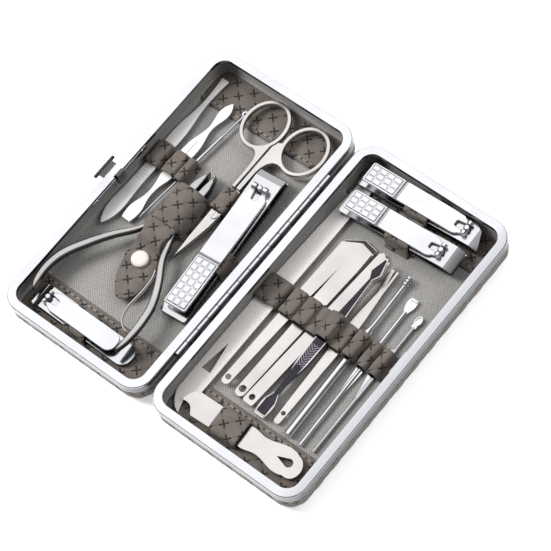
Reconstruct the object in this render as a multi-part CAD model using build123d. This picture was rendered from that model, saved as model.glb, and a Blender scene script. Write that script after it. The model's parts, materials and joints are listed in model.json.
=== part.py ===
from build123d import *
import os
from math import atan2, cos, degrees, hypot, radians, sin

# A hinged frame case that holds a manicure set, lying open and flat. Millimetres, +Z up.
# Shapes are drawn in the hinge frame: X = 0 on the hinge line, Y = 0 at mid-length and
# Z = 0 on the rims' top faces. place() moves them to the row frame on the way out.

# ---- case ----------------------------------------------------------------------------
CASE_LENGTH = 160.0
TRAY_WIDTH = 84.65
RIM_GAP = 3.3
HALF_HEIGHT = 16.5
CORNER_RADIUS = 10.5
LEATHER = 1.0
PAN_SHEET = 0.8
LINING_CLOTH = 0.6
FLOOR_BOARD = 1.7
BOTTOM_RADIUS = 6.5
RIM_WIDTH = 4.5
RIM_SHEET = 0.9
RIM_SKIRT = 5.0
RIM_LIP = 2.2
RIM_EDGE_RADIUS = 0.7
LAYER_CLEARANCE = 0.1

# ---- hinge ---------------------------------------------------------------------------
HINGE_LENGTH = 108.5
KNUCKLES = 15
KNUCKLE_RADIUS = 1.45
PIN_RADIUS = 0.7
PIN_CLEARANCE = 0.05
KNUCKLE_CLEARANCE = 0.1
LEAF_SHEET = 0.5
LEAF_DROP = 4.6
HINGE_RISE = 0.15

# ---- leatherwork inside --------------------------------------------------------------
BAND_THICKNESS = 1.2
BAND_REACH = 26.0
UPPER_BAND_REACH = 23.5
STRAP_THICKNESS = 0.9
LOOP_CLEARANCE = 0.35

# ---- latch ---------------------------------------------------------------------------
LATCH_TRAVEL = 1.3
TONGUE_WIDTH = 4.4
TONGUE_THICKNESS = 1.2
TONGUE_TOP = -3.2
THUMB_LENGTH = 9.2
THUMB_GAP = 1.4
THUMB_DEPTH = 4.3
THUMB_PIN_RADIUS = 0.95
THUMB_PIN_INSET = 0.4
THUMB_PIN_LENGTH = 13.6
HOOK_SHEET = 1.0
HOOK_RISE = 3.0
HOOK_NOSE = 0.75
HOOK_NOSE_DEPTH = 0.9
HOOK_INSET = 6.1
WINDOW_CLEARANCE = 0.3
SPRING_LENGTH = 38.0
SPRING_SHEET = 0.5
SPRING_DEPTH = 2.4
KEEPER_SHEET = 0.6
KEEPER_LENGTH = 12.0
RIVET_INSET = 3.0
RIVET_RADIUS = 0.9

# ---- tool set ------------------------------------------------------------------------
SET_LENGTH = 160.0
NIPPER_RISE = 5.86

# ---- derived places ------------------------------------------------------------------
LATCH_REACH = THUMB_GAP + THUMB_DEPTH - THUMB_PIN_INSET + THUMB_PIN_RADIUS
NEAR_EDGE = RIM_GAP / 2
FAR_EDGE = NEAR_EDGE + TRAY_WIDTH
TRAY_MIDDLE = NEAR_EDGE + TRAY_WIDTH / 2
HALF_LENGTH = CASE_LENGTH / 2
SET_STRETCH = CASE_LENGTH / SET_LENGTH
HINGE_X = LATCH_REACH / 2
COVER_INSET = LAYER_CLEARANCE
PAN_INSET = COVER_INSET + LEATHER
LINING_INSET = PAN_INSET + PAN_SHEET
CAVITY_INSET = LINING_INSET + LINING_CLOTH
PAN_BOTTOM = -HALF_HEIGHT + LEATHER
LINING_BOTTOM = PAN_BOTTOM + PAN_SHEET
FLOOR = LINING_BOTTOM + FLOOR_BOARD
BAND_TOP = FLOOR + BAND_THICKNESS
CHANNEL_TOP = -RIM_SHEET - LAYER_CLEARANCE


# ---- helpers -------------------------------------------------------------------------
def place(shape):
    return Pos(HINGE_X, 0, HALF_HEIGHT) * shape


def write(name, shape):
    os.makedirs("parts", exist_ok=True)
    export_step(place(shape), f"parts/{name}.step")


def box(low, high):
    """A block between two corners."""
    size = [b - a for a, b in zip(low, high)]
    middle = [(a + b) / 2 for a, b in zip(low, high)]
    return Pos(*middle) * Box(*size)


def cut_all(shape, cutters):
    for cutter in cutters:
        shape = shape - cutter
    return shape


def slab(face, bottom, thickness):
    """A flat outline raised to a plate whose underside is at bottom."""
    return Pos(0, 0, bottom) * extrude(face, thickness)


def side_plate(points, half_width):
    """A (Y, Z) side outline carried half_width each way along X."""
    face = make_face(Plane.YZ * Polyline(*points, close=True))
    return extrude(face, half_width, both=True)


def blade_face(stations):
    """A symmetric outline along +Y: each station is (distance along, half width)."""
    left = [(-half, along) for along, half in stations]
    right = [(half, along) for along, half in stations]
    edges = Spline(*left) + Spline(*right) + Line(left[0], right[0]) + Line(left[-1], right[-1])
    return make_face(edges)


def pointed_face(stations, point):
    """As blade_face, but both edges meet at a point on the axis, at distance point."""
    left = [(-half, along) for along, half in stations] + [(0, point)]
    right = [(half, along) for along, half in stations] + [(0, point)]
    return make_face(Spline(*left) + Spline(*right) + Line(left[0], right[0]))


def along(mark):
    """Y of a mark in the set's layout, which follows the length of the case."""
    return mark * SET_STRETCH


def laid(shape, foot, tip, level=0.0):
    """Turn a tool drawn from its foot along +Y onto the line from foot to tip."""
    turn = degrees(atan2(along(tip[1] - foot[1]), tip[0] - foot[0])) - 90
    return Pos(foot[0], along(foot[1]), level) * Rot(0, 0, turn) * shape


def reach(foot, tip):
    return hypot(tip[0] - foot[0], along(tip[1] - foot[1]))


def rod(length, radius, start=0.0):
    """A round bar along +Y from start, its middle at Z = radius."""
    return Pos(0, start + length / 2, radius) * Rot(90, 0, 0) * Cylinder(radius, length)


def mirrored(shape):
    return mirror(shape, Plane.YZ)


def largest(shape):
    return shape.solids().sort_by(SortBy.VOLUME)[-1]


# ---- shells, drawn for the right tray and mirrored for the left ------------------------
def tray_solid(inset, bottom, top, bottom_radius):
    """A solid of the tray's outline, drawn in by inset, with a rounded underside."""
    outline = RectangleRounded(TRAY_WIDTH - 2 * inset, CASE_LENGTH - 2 * inset, CORNER_RADIUS - inset)
    solid = Pos(TRAY_MIDDLE, 0, bottom) * extrude(outline, top - bottom)
    if bottom_radius:
        solid = fillet(solid.edges().group_by(Axis.Z)[0], bottom_radius)
    return solid


def layer(inset, bottom, top, thickness, floor_thickness, radius):
    outer = tray_solid(inset, bottom, top, radius)
    inner_radius = max(radius - thickness, 1.0)
    return outer - tray_solid(inset + thickness, bottom + floor_thickness, top + 1, inner_radius)


def leather_cover():
    return layer(COVER_INSET, -HALF_HEIGHT, -RIM_SKIRT - LAYER_CLEARANCE, LEATHER, LEATHER, BOTTOM_RADIUS)


def pan():
    return layer(PAN_INSET, PAN_BOTTOM, CHANNEL_TOP, PAN_SHEET, PAN_SHEET, BOTTOM_RADIUS - LEATHER)


def lining():
    radius = BOTTOM_RADIUS - LEATHER - PAN_SHEET
    return layer(LINING_INSET, LINING_BOTTOM, CHANNEL_TOP, LINING_CLOTH, FLOOR_BOARD, radius)


def rim_frame():
    """A folded channel: flat top, outer skirt and a short inner lip."""
    blank = tray_solid(0, -RIM_SKIRT, 0, 0)
    blank = fillet(blank.edges().group_by(Axis.Z)[-1], RIM_EDGE_RADIUS)
    throat = tray_solid(RIM_WIDTH, -RIM_SKIRT - 1, 1, 0)
    below_top = tray_solid(RIM_SHEET, -RIM_SKIRT - 1, -RIM_SHEET, 0)
    lip_back = tray_solid(RIM_WIDTH - RIM_SHEET / 2, -RIM_SKIRT - 1, 1, 0)
    channel = below_top - (lip_back & tray_solid(0, -RIM_LIP, 0, 0))
    return blank - throat - channel


def cavity():
    """The room inside the lining, a clearance in from its walls."""
    radius = BOTTOM_RADIUS - LEATHER - PAN_SHEET - LINING_CLOTH - LAYER_CLEARANCE
    return tray_solid(CAVITY_INSET + LAYER_CLEARANCE, FLOOR, HALF_HEIGHT, radius)


def quilted_bands():
    """The two quilted leather bands that cross the tray floor at its ends."""
    low = box((0, -HALF_LENGTH, FLOOR), (FAR_EDGE, -HALF_LENGTH + BAND_REACH, BAND_TOP))
    high = box((0, HALF_LENGTH - UPPER_BAND_REACH, FLOOR), (FAR_EDGE, HALF_LENGTH, BAND_TOP))
    return Compound([low & cavity(), high & cavity()])


# ---- hinge ---------------------------------------------------------------------------
PITCH = HINGE_LENGTH / KNUCKLES
AXIS_TO_SKIRT = NEAR_EDGE


def knuckle_span(index):
    start = -HINGE_LENGTH / 2 + index * PITCH
    return start + KNUCKLE_CLEARANCE, start + PITCH - KNUCKLE_CLEARANCE


def hinge_leaf(parity):
    """Leaf on the right-hand rim with every second knuckle, starting from parity."""
    low, high = AXIS_TO_SKIRT - LEAF_SHEET, AXIS_TO_SKIRT
    leaf = box((low, -HINGE_LENGTH / 2, -LEAF_DROP), (high, HINGE_LENGTH / 2, HINGE_RISE))
    swept = KNUCKLE_RADIUS + 0.25
    for index in range(KNUCKLES):
        start, end = knuckle_span(index)
        middle = Pos(0, (start + end) / 2, HINGE_RISE) * Rot(90, 0, 0)
        if index % 2 == parity:
            leaf = leaf + middle * Cylinder(KNUCKLE_RADIUS, end - start)
        else:
            leaf = leaf - middle * Cylinder(swept, PITCH)
            leaf = leaf - box((low - 1, start - KNUCKLE_CLEARANCE, HINGE_RISE - 0.3),
                              (high + 1, end + KNUCKLE_CLEARANCE, HINGE_RISE + 1))
    bore = Pos(0, 0, HINGE_RISE) * Rot(90, 0, 0) * Cylinder(PIN_RADIUS + PIN_CLEARANCE, HINGE_LENGTH + 2)
    return leaf - bore


def hinge_pin():
    return Pos(0, 0, HINGE_RISE) * Rot(90, 0, 0) * Cylinder(PIN_RADIUS, HINGE_LENGTH)


# ---- latch: drawn on the right-hand far wall, mirrored to the left tray ----------------
HOOK_OUTER = FAR_EDGE - HOOK_INSET
HOOK_INNER = HOOK_OUTER - HOOK_SHEET
TONGUE_BOTTOM = TONGUE_TOP - TONGUE_THICKNESS
TONGUE_HALF = TONGUE_WIDTH / 2
PLATE_IN = FAR_EDGE + THUMB_GAP
PLATE_OUT = PLATE_IN + THUMB_DEPTH
THUMB_PIN_X = PLATE_OUT - THUMB_PIN_INSET
LIP_INNER = FAR_EDGE - RIM_WIDTH
STRIP_OUTER = LIP_INNER - LAYER_CLEARANCE
STRIP_TOP = -RIM_SHEET


def tongue_window():
    """The slot that the tongue needs through skirt, pan and lining."""
    half = TONGUE_HALF + WINDOW_CLEARANCE
    low = (HOOK_INNER - LATCH_TRAVEL, -half, TONGUE_BOTTOM - WINDOW_CLEARANCE)
    return box(low, (FAR_EDGE + 1, half, TONGUE_TOP + WINDOW_CLEARANCE))


def rim_notch():
    """Bite out of the rim's inner edge, over the hook."""
    half = TONGUE_HALF + WINDOW_CLEARANCE
    return box((LIP_INNER - 1, -half, -RIM_SKIRT), (LIP_INNER + HOOK_NOSE, half, 1))


def latch_pin():
    """Cross pin rolled into the thumb plate's outer edge."""
    middle = Pos(THUMB_PIN_X, 0, TONGUE_TOP - TONGUE_THICKNESS / 2)
    return middle * Rot(90, 0, 0) * Cylinder(THUMB_PIN_RADIUS, THUMB_PIN_LENGTH)


def latch_slider():
    """Thumb plate outside, tongue through the wall and hook inside, in one piece."""
    half = TONGUE_HALF
    tongue = box((HOOK_INNER, -half, TONGUE_BOTTOM), (PLATE_IN + 1, half, TONGUE_TOP))
    plate = box((PLATE_IN, -THUMB_LENGTH / 2, TONGUE_BOTTOM), (THUMB_PIN_X, THUMB_LENGTH / 2, TONGUE_TOP))
    hook = box((HOOK_INNER, -half, TONGUE_BOTTOM), (HOOK_OUTER, half, HOOK_RISE))
    nose = box((HOOK_INNER, -half, HOOK_RISE - HOOK_NOSE_DEPTH), (HOOK_OUTER + HOOK_NOSE, half, HOOK_RISE))
    return tongue + plate + hook + nose - latch_pin()


def latch_spring():
    """Leaf inside the lip that holds the slider out, with a hole for the tongue."""
    half = TONGUE_HALF + WINDOW_CLEARANCE
    inner = STRIP_OUTER - SPRING_SHEET
    strip = box((inner, -SPRING_LENGTH / 2, STRIP_TOP - SPRING_DEPTH), (STRIP_OUTER, SPRING_LENGTH / 2, STRIP_TOP))
    middle = box((inner, -half - 1.5, TONGUE_BOTTOM - 1.2), (STRIP_OUTER, half + 1.5, STRIP_TOP))
    hole = box((inner - 1, -half, TONGUE_BOTTOM - WINDOW_CLEARANCE), (STRIP_OUTER + 1, half, 1))
    return cut_all(strip + middle - hole, rivet_holes())


RIVET_Y = SPRING_LENGTH / 2 - RIVET_INSET
RIVET_Z = (STRIP_TOP - RIM_LIP) / 2
RIVET_SHANK = RIVET_RADIUS * 0.55
RIVET_GRIP = SPRING_SHEET + LAYER_CLEARANCE + RIM_SHEET / 2


def at_rivets(shape):
    return [Pos(0, side * RIVET_Y, RIVET_Z) * shape for side in (-1, 1)]


def rivet_holes():
    return at_rivets(Pos(STRIP_OUTER, 0, 0) * Rot(0, 90, 0) * Cylinder(RIVET_SHANK, 4))


def spring_rivets():
    """Rivets through the spring's ends and the rim's lip."""
    inner = STRIP_OUTER - SPRING_SHEET
    shank = Pos(inner + RIVET_GRIP / 2 - 0.25, 0, 0) * Rot(0, 90, 0) * Cylinder(RIVET_SHANK, RIVET_GRIP + 0.5)
    head = Pos(inner - 0.25, 0, 0) * Rot(0, 90, 0) * Cylinder(RIVET_RADIUS, 0.5)
    return Compound(at_rivets(shank + head))


def keeper():
    """Strike plate under the right rim, with a window at the hook's nose."""
    half = TONGUE_HALF + WINDOW_CLEARANCE
    low = 2 * HINGE_RISE - HOOK_RISE - WINDOW_CLEARANCE
    high = 2 * HINGE_RISE - HOOK_RISE + HOOK_NOSE_DEPTH + WINDOW_CLEARANCE
    blank = box((STRIP_OUTER - KEEPER_SHEET, -KEEPER_LENGTH / 2, -RIM_SKIRT),
                (STRIP_OUTER, KEEPER_LENGTH / 2, STRIP_TOP))
    return blank - box((STRIP_OUTER - 2, -half, low), (STRIP_OUTER + 2, half, high))


# ---- leather loops -----------------------------------------------------------------------
def arch(low, high, foot, crest, bevel):
    """Cross-section (X, Z) of a loop round a tool, with bevelled upper corners."""
    points = [(low, foot), (low, crest - bevel), (low + bevel, crest), (high - bevel, crest),
              (high, crest - bevel), (high, foot)]
    return make_face(Plane.XZ * Polyline(*points, close=True))


def loop_band(spans, start, end, foot):
    """Sewn loops side by side: spans hold each tool's low side, high side and top."""
    gap, skin = LOOP_CLEARANCE, LOOP_CLEARANCE + STRAP_THICKNESS
    outer = [arch(low - skin, high + skin, foot, top + skin, STRAP_THICKNESS) for low, high, top in spans]
    inner = [arch(low - gap, high + gap, foot - 1, top + gap, 0.05) for low, high, top in spans]
    profile = outer[0]
    for face in outer[1:]:
        profile = profile + face
    profile = cut_all(profile, inner)
    return Pos(0, end, 0) * extrude(profile, end - start, dir=(0, -1, 0))


# ---- flat tools ------------------------------------------------------------------------
def ribbon(points, half_width):
    """A band of even width along a smooth line."""
    left, right = [], []
    for k, (x, y) in enumerate(points):
        x0, y0 = points[max(k - 1, 0)]
        x1, y1 = points[min(k + 1, len(points) - 1)]
        length = hypot(x1 - x0, y1 - y0)
        across = ((y0 - y1) / length * half_width, (x1 - x0) / length * half_width)
        left.append((x + across[0], y + across[1]))
        right.append((x - across[0], y - across[1]))
    return make_face(Spline(*left) + Spline(*right) + Line(left[0], right[0]) + Line(left[-1], right[-1]))


def polygon(*points):
    return make_face(Polyline(*points, close=True))


def plan(*marks):
    """An outline whose corners are marks in the set's layout."""
    return polygon(*[(x, along(y)) for x, y in marks])


FLAT_SHEET = 1.0
PLATE_SHEET = 1.2
LOW_LEVEL = -11.9
FILE_LEVEL = -11.6
OVER_LEVEL = -10.6
PLATE_LEVEL = -10.25
PLATE_AT = (45.0, -64.4)
PUSHER_LEVEL = BAND_TOP + 0.15
PUSHER_SHEET = 1.5


def notched_file():
    low, high = along(-60.0), along(66.0)
    low_left, high_left = (5.5, low), (8.8, high)
    low_right, high_right = (15.8, low), (16.2, high)
    toe_end = (13.3, low - 12.6)
    toe = Spline(low_left, (6.0, low - 5.0), (8.6, low - 9.4), (11.6, low - 12.0), toe_end)
    toe = toe + Spline(toe_end, (12.2, low - 9.4), (11.7, low - 6.0), (12.5, low - 2.4), low_right)
    left = Spline(low_left, (5.7, 0.0), high_left)
    face = make_face(toe + Line(low_right, high_right) + Line(high_right, high_left) + left)
    notch = plan((7.9, -49.7), (12.9, -49.7), (10.4, -33.3))
    return slab(face - notch, FILE_LEVEL, FLAT_SHEET)


def knife_1():
    handle = plan((19.1, -48.0), (23.6, -48.0), (25.7, -9.0), (26.3, 3.0), (28.0, 21.0), (27.55, 3.0),
                  (33.9, 3.0), (33.9, 5.0), (35.2, 6.0), (35.7, 16.0), (36.3, 26.5), (36.3, 37.4), (28.6, 39.2),
                  (20.7, 34.9), (20.4, 20.0), (19.8, -9.0))
    face = handle + Pos(21.35, along(-48.0)) * Circle(2.25) - Pos(21.2, along(-46.5)) * Circle(1.3)
    return slab(face, OVER_LEVEL, FLAT_SHEET)


def knife_2():
    handle = plan((27.0, -48.4), (32.2, -48.4), (34.1, -9.0), (34.2, 5.0), (35.0, 20.0), (36.4, 26.0),
                  (36.6, 40.6), (29.0, 42.0), (21.0, 36.9), (21.0, 28.0), (28.2, 24.0), (27.6, -9.0))
    face = handle + Pos(29.6, along(-48.4)) * Circle(2.6) - Pos(29.6, along(-46.9)) * Circle(1.6)
    return slab(face, LOW_LEVEL, FLAT_SHEET)


def knife_3():
    foot, tip, half = (35.4, -51.2), (41.1, 41.5), 2.9
    length = reach(foot, tip)
    strip = polygon((-half, 0), (half, 0), (half, length - 2.6), (-1.2, length), (-half, length - 1.4))
    face = fillet(strip.vertices().sort_by(Axis.Y)[:2], 1.3) - Pos(0, 3.6) * Circle(1.5)
    return laid(slab(face, 0, FLAT_SHEET), foot, tip, LOW_LEVEL)


def opener_plate():
    """Flat peeler that lies across the tray, with a bitten corner and a teardrop hole."""
    beak, shoulder, waist, nose_top = (-33.4, -2.6), (-27.2, 5.0), (0.8, 5.6), (26.3, 6.7)
    nose_low, belly, lobe = (25.3, -4.6), (0.8, -5.3), (-25.6, -6.4)
    outline = Spline(beak, (-33.3, -0.8), (-32.5, 1.4), (-30.9, 3.5), shoulder) + Line(shoulder, waist)
    outline = outline + Spline(waist, (3.3, 5.7), (7.3, 5.1), (10.3, 5.2), (15.3, 6.5), nose_top)
    outline = outline + Spline(nose_top, (29.3, 5.2), (31.1, 1.6), (30.4, -2.4), nose_low)
    outline = outline + Spline(nose_low, (15.3, -4.7), (10.8, -3.9), (8.3, -4.0), (4.4, -5.0), belly)
    outline = outline + Line(belly, lobe) + Spline(lobe, (-27.0, -4.7), (-28.5, -3.0), (-31.0, -2.2), beak)
    face = make_face(outline)
    eye = Pos(24.2, 1.5) * Circle(2.1) + polygon((17.9, 1.1), (23.8, 3.55), (23.8, -0.55))
    return Pos(PLATE_AT[0], along(PLATE_AT[1])) * slab(face - eye, PLATE_LEVEL, PLATE_SHEET)


def fork_trimmer():
    foot, tip = (51.9, -51.2), (50.6, 37.6)
    length = reach(foot, tip)
    neck = length - 12.5
    body = blade_face([(1.6, 1.6), (12, 1.9), (32, 2.3), (44, 2.6), (57, 2.6), (66, 2.0), (neck, 1.15)])
    left = polygon((-1.15, neck - 0.3), (0.5, neck - 0.3), (-1.5, length), (-3.1, length - 0.3))
    right = polygon((0.1, neck - 0.3), (1.15, neck - 0.3), (0.8, length), (-0.2, length))
    face = body + Pos(0, 1.6) * Circle(1.6) + left + right - Pos(0, 5.6) * Circle(1.1)
    return laid(slab(face, 0, FLAT_SHEET), foot, tip, LOW_LEVEL)


def leaf_pusher():
    """Leaf-shaped cleaner at the foot, ribbed grip, waisted and flared pusher at the tip."""
    foot, tip, thickness = (-77.4, -20.8), (-77.4, 70.3), PUSHER_SHEET
    length = reach(foot, tip)
    stations = [(0, 0.3), (4, 2.4), (9, 3.55), (20, 3.3), (36, 2.95), (52, 3.3), (60, 3.1), (71, 1.6), (82, 1.35)]
    body = slab(blade_face(stations + [(length, 2.1)]), 0, thickness)
    for k in range(6):
        body = body + box((-2.5, 27.7 + 1.6 * k, thickness), (2.5, 28.5 + 1.6 * k, thickness + 0.2))
    return laid(body, foot, tip, PUSHER_LEVEL)


def lance_pusher():
    """Shovel foot, fluted grip and a lance head."""
    foot, tip = (-68.9, -13.0), (-66.1, 62.3)
    stations = [(0, 2.3), (3, 2.95), (8, 2.95), (13, 1.55), (18.5, 1.1), (22, 1.4), (28, 2.8), (33, 2.95),
                (50, 2.9), (60, 1.0), (67, 2.4)]
    body = slab(pointed_face(stations, reach(foot, tip)), 0, PUSHER_SHEET)
    flute = Pos(0, 43, PUSHER_SHEET + 0.2) * Rot(90, 0, 0) * Cylinder(0.6, 14)
    return laid(body - flute, foot, tip, PUSHER_LEVEL)


# ---- round ear picks ---------------------------------------------------------------------
def needle_tool():
    """Fine wire needle with a thicker grip and a small loop at its tip."""
    foot, tip = (-64.4, -9.2), (-57.7, 63.3)
    length, radius, wire = reach(foot, tip), 1.0, 0.55
    body = Pos(0, 0, radius - wire) * rod(length - 6, wire, 3) + rod(length * 0.3, radius, length * 0.46)
    point = Pos(0, 1.5, radius) * Rot(90, 0, 0) * Cone(wire, 0.05, 3)
    loop = Pos(0, length - 2.0, radius) * (Cylinder(1.6, 0.7) - Cylinder(0.9, 2))
    return laid(body + point + loop, foot, tip, PUSHER_LEVEL)


def spiral_pick():
    """Tube handle, tapered shoulder, wire shaft and a head of stacked discs."""
    foot, tip, radius, wire = (59.9, -52.5), (57.2, 38.2), 2.0, 1.0
    length = reach(foot, tip)
    shoulder = length - 31.7
    pick = rod(shoulder, radius)
    pick = pick + Pos(0, shoulder + 2.25, radius) * Rot(-90, 0, 0) * Cone(radius, wire, 4.5)
    pick = pick + Pos(0, 0, radius - wire) * rod(length - shoulder - 4.5, wire, shoulder + 4.5)
    for k in range(3):
        pick = pick + Pos(0, length - 0.4 - 1.6 * k, radius) * Rot(90, 0, 0) * Cylinder(1.9, 0.8)
    return laid(pick, foot, tip, FLOOR + 0.1)


def spatula_pick():
    """Round handle, flat grip, round shaft and a scoop with a raised end."""
    foot, tip, radius = (67.1, -53.0), (65.2, 31.7), 1.05
    length = reach(foot, tip)
    scoop = blade_face([(0, 1.0), (2.0, 1.6), (4.2, 2.3), (6.2, 2.3), (8.2, 1.7)])
    grip = blade_face([(0, 1.0), (10, 1.7), (20, 1.7), (26, 1.0)])
    pick = rod(length - 7.5, radius) + Pos(0, 31, 0.4) * extrude(grip, radius)
    pick = pick + Pos(0, length - 8.2, 0.5) * extrude(scoop, 0.8)
    pick = pick + Pos(0, length - 0.9, 1.3) * Box(3.2, 0.8, 1.2)
    return laid(pick, foot, tip, FLOOR + 0.1)


def disc_pick():
    foot, tip, thickness, wire = (73.7, -52.0), (72.9, 27.0), 1.1, 0.65
    length = reach(foot, tip)
    collar = length - 6.3
    pick = rod(collar, wire)
    pick = pick + slab(polygon((-0.6, 31), (0.6, 31), (0.6, 59), (-0.6, 59), (-2.9, 56), (-2.9, 44)), 0.1, thickness)
    pick = pick + Pos(0, collar, wire) * Box(2.4, 1.6, 1.1)
    bowl = Pos(0, 0, -0.45) * extrude(Ellipse(1.7, 2.6), 0.9) - extrude(Ellipse(1.2, 2.1), 1)
    pick = pick + Pos(0, collar + 3.2, wire) * bowl
    return laid(pick, foot, tip, FLOOR + 0.5)


# ---- tweezers ----------------------------------------------------------------------------
TWEEZER_FOOT = (43.9, -53.0)
TWEEZER_TIP = (45.2, 38.5)
TWEEZER_SHEET = 0.8
TWEEZER_GAP = 0.2
TWEEZER_SPREAD = 1.75
TWEEZER_TILT = 1.2
TWEEZER_LEVEL = -11.5
TWEEZER_LENGTH = reach(TWEEZER_FOOT, TWEEZER_TIP)
TWEEZER_OUTLINE = [(0, 2.6), (2, 2.95), (8.5, 2.95), (12, 1.5), (28, 2.4), (41, 2.95), (50, 2.95), (60, 2.3),
                   (72, 1.45), (79.5, 1.05)]
TWEEZER_HEAD = [(-1.05, 79.4), (-3.0, 83.0), (-0.6, TWEEZER_LENGTH), (0.6, TWEEZER_LENGTH), (3.0, 83.0), (1.05, 79.4)]


def tweezer_arm(start):
    whole = slab(blade_face(TWEEZER_OUTLINE) + polygon(*TWEEZER_HEAD), 0, TWEEZER_SHEET)
    return whole & box((-9, start, -1), (9, TWEEZER_LENGTH + 1, 2))


def tweezer_lay(shape):
    return laid(Rot(TWEEZER_TILT, 0, 0) * shape, TWEEZER_FOOT, TWEEZER_TIP, TWEEZER_LEVEL)


def tweezer_lower():
    """Lower arm, with the folded tail that stands up behind the upper arm."""
    tail = box((-2.6, 0, 0), (2.6, TWEEZER_SHEET, 2 * TWEEZER_SHEET + TWEEZER_GAP))
    return tweezer_lay(tweezer_arm(0) + tail)


def tweezer_upper():
    raised = Pos(0, 0, TWEEZER_SHEET + TWEEZER_GAP) * Rot(TWEEZER_SPREAD, 0, 0)
    return tweezer_lay(raised * tweezer_arm(TWEEZER_SHEET + TWEEZER_GAP))


# ---- nail clippers: drawn from the tail at Y = 0 to the jaws -------------------------------
class Clipper:
    """Sizes of one nail clipper and the line that it lies on."""

    def __init__(self, tail, jaws, level, width, blade, head_height, lever, lever_low, lever_start, pad, post_back,
                 tail_corner=1.4):
        self.tail, self.jaws, self.level = tail, jaws, level
        self.width, self.blade, self.head_height = width, blade, head_height
        self.lever, self.lever_low = lever, lever_low
        self.lever_start, self.pad, self.tail_corner = lever_start, pad, tail_corner
        self.length = reach(tail, jaws)
        self.post_at = self.length - post_back
        self.ear_radius = lever * 1.5
        self.pin_height = head_height + LEVER_CLEARANCE + self.ear_radius
        self.edge = head_height * 0.36
        self.seat = blade + BLADE_SEAT

    def lay(self, shape):
        return laid(shape, self.tail, self.jaws, self.level)

    def blade_top(self, along):
        """Height of the upper blade's top face, from the tail up to the head."""
        slope = (self.head_height - self.seat - self.blade) / (self.length - HEAD_LENGTH)
        return self.seat + self.blade + slope * along


JAW_GAP = 1.6
JAW_DEPTH = 3.4
HEAD_LENGTH = 9.0
POST_RADIUS = 1.5
POST_CLEARANCE = 0.45
CROSS_PIN_RADIUS = 0.6
CROSS_PIN_CLEARANCE = 0.07
BLADE_SEAT = 0.25
LEVER_CLEARANCE = 0.35


def plan_outline(start, end, width, corner):
    face = polygon((-width / 2, start), (width / 2, start), (width / 2, end), (-width / 2, end))
    return fillet(face.vertices().sort_by(Axis.Y)[:2], corner)


def clipper_blank(clipper, profile, start):
    """A side profile carried across the width, with the tail's corners rounded off."""
    solid = side_plate(profile, clipper.width / 2)
    return solid & extrude(plan_outline(start, clipper.length + 1, clipper.width, clipper.tail_corner), 30)


def slanted(clipper, solid):
    """Cut the jaws obliquely, as a corner clipper's are."""
    length, half = clipper.length, clipper.width / 2
    corner = polygon((-half - 1, length + 9), (half + 1, length + 9), (half + 1, length), (half, length),
                     (half - 9.0, length - 3.5), (-half, length - 9.5), (-half - 1, length - 9.5))
    return solid - laid(extrude(corner, 30), clipper.tail, clipper.jaws, clipper.level)


def clipper_lower(clipper):
    length, sheet, edge = clipper.length, clipper.blade, clipper.edge
    profile = [(0, 0), (length - 7, 0), (length - 1.5, edge * 0.4), (length, edge), (length - 1.0, edge),
               (length - JAW_DEPTH, sheet + 0.3), (length - 8, sheet), (0, sheet)]
    hole = Pos(0, clipper.post_at, 0) * Cylinder(POST_RADIUS, 20)
    return clipper.lay(clipper_blank(clipper, profile, 0) - hole)


def clipper_upper(clipper):
    length, sheet, top, seat = clipper.length, clipper.blade, clipper.head_height, clipper.seat
    edge = clipper.edge + JAW_GAP
    profile = [(0, seat), (length - HEAD_LENGTH, top - sheet), (length - JAW_DEPTH, top - sheet - 0.4),
               (length - 1.0, edge), (length, edge), (length - 0.9, top - 1.3), (length - 4.5, top),
               (length - HEAD_LENGTH, top), (0, seat + sheet)]
    hole = Pos(0, clipper.post_at, 0) * Cylinder(POST_RADIUS + POST_CLEARANCE, 40)
    return clipper.lay(clipper_blank(clipper, profile, 0) - hole)


def clipper_post(clipper):
    """Post with a flat foot, a wider head and the cross pin that carries the lever."""
    height = clipper.pin_height
    top = height + clipper.ear_radius * 0.8
    shank = Pos(0, 0, top / 2) * Cylinder(POST_RADIUS, top)
    cross = Pos(0, 0, height) * Rot(0, 90, 0) * Cylinder(CROSS_PIN_RADIUS, clipper.width * 0.6)
    return clipper.lay(Pos(0, clipper.post_at, 0) * (shank + cross))


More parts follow.
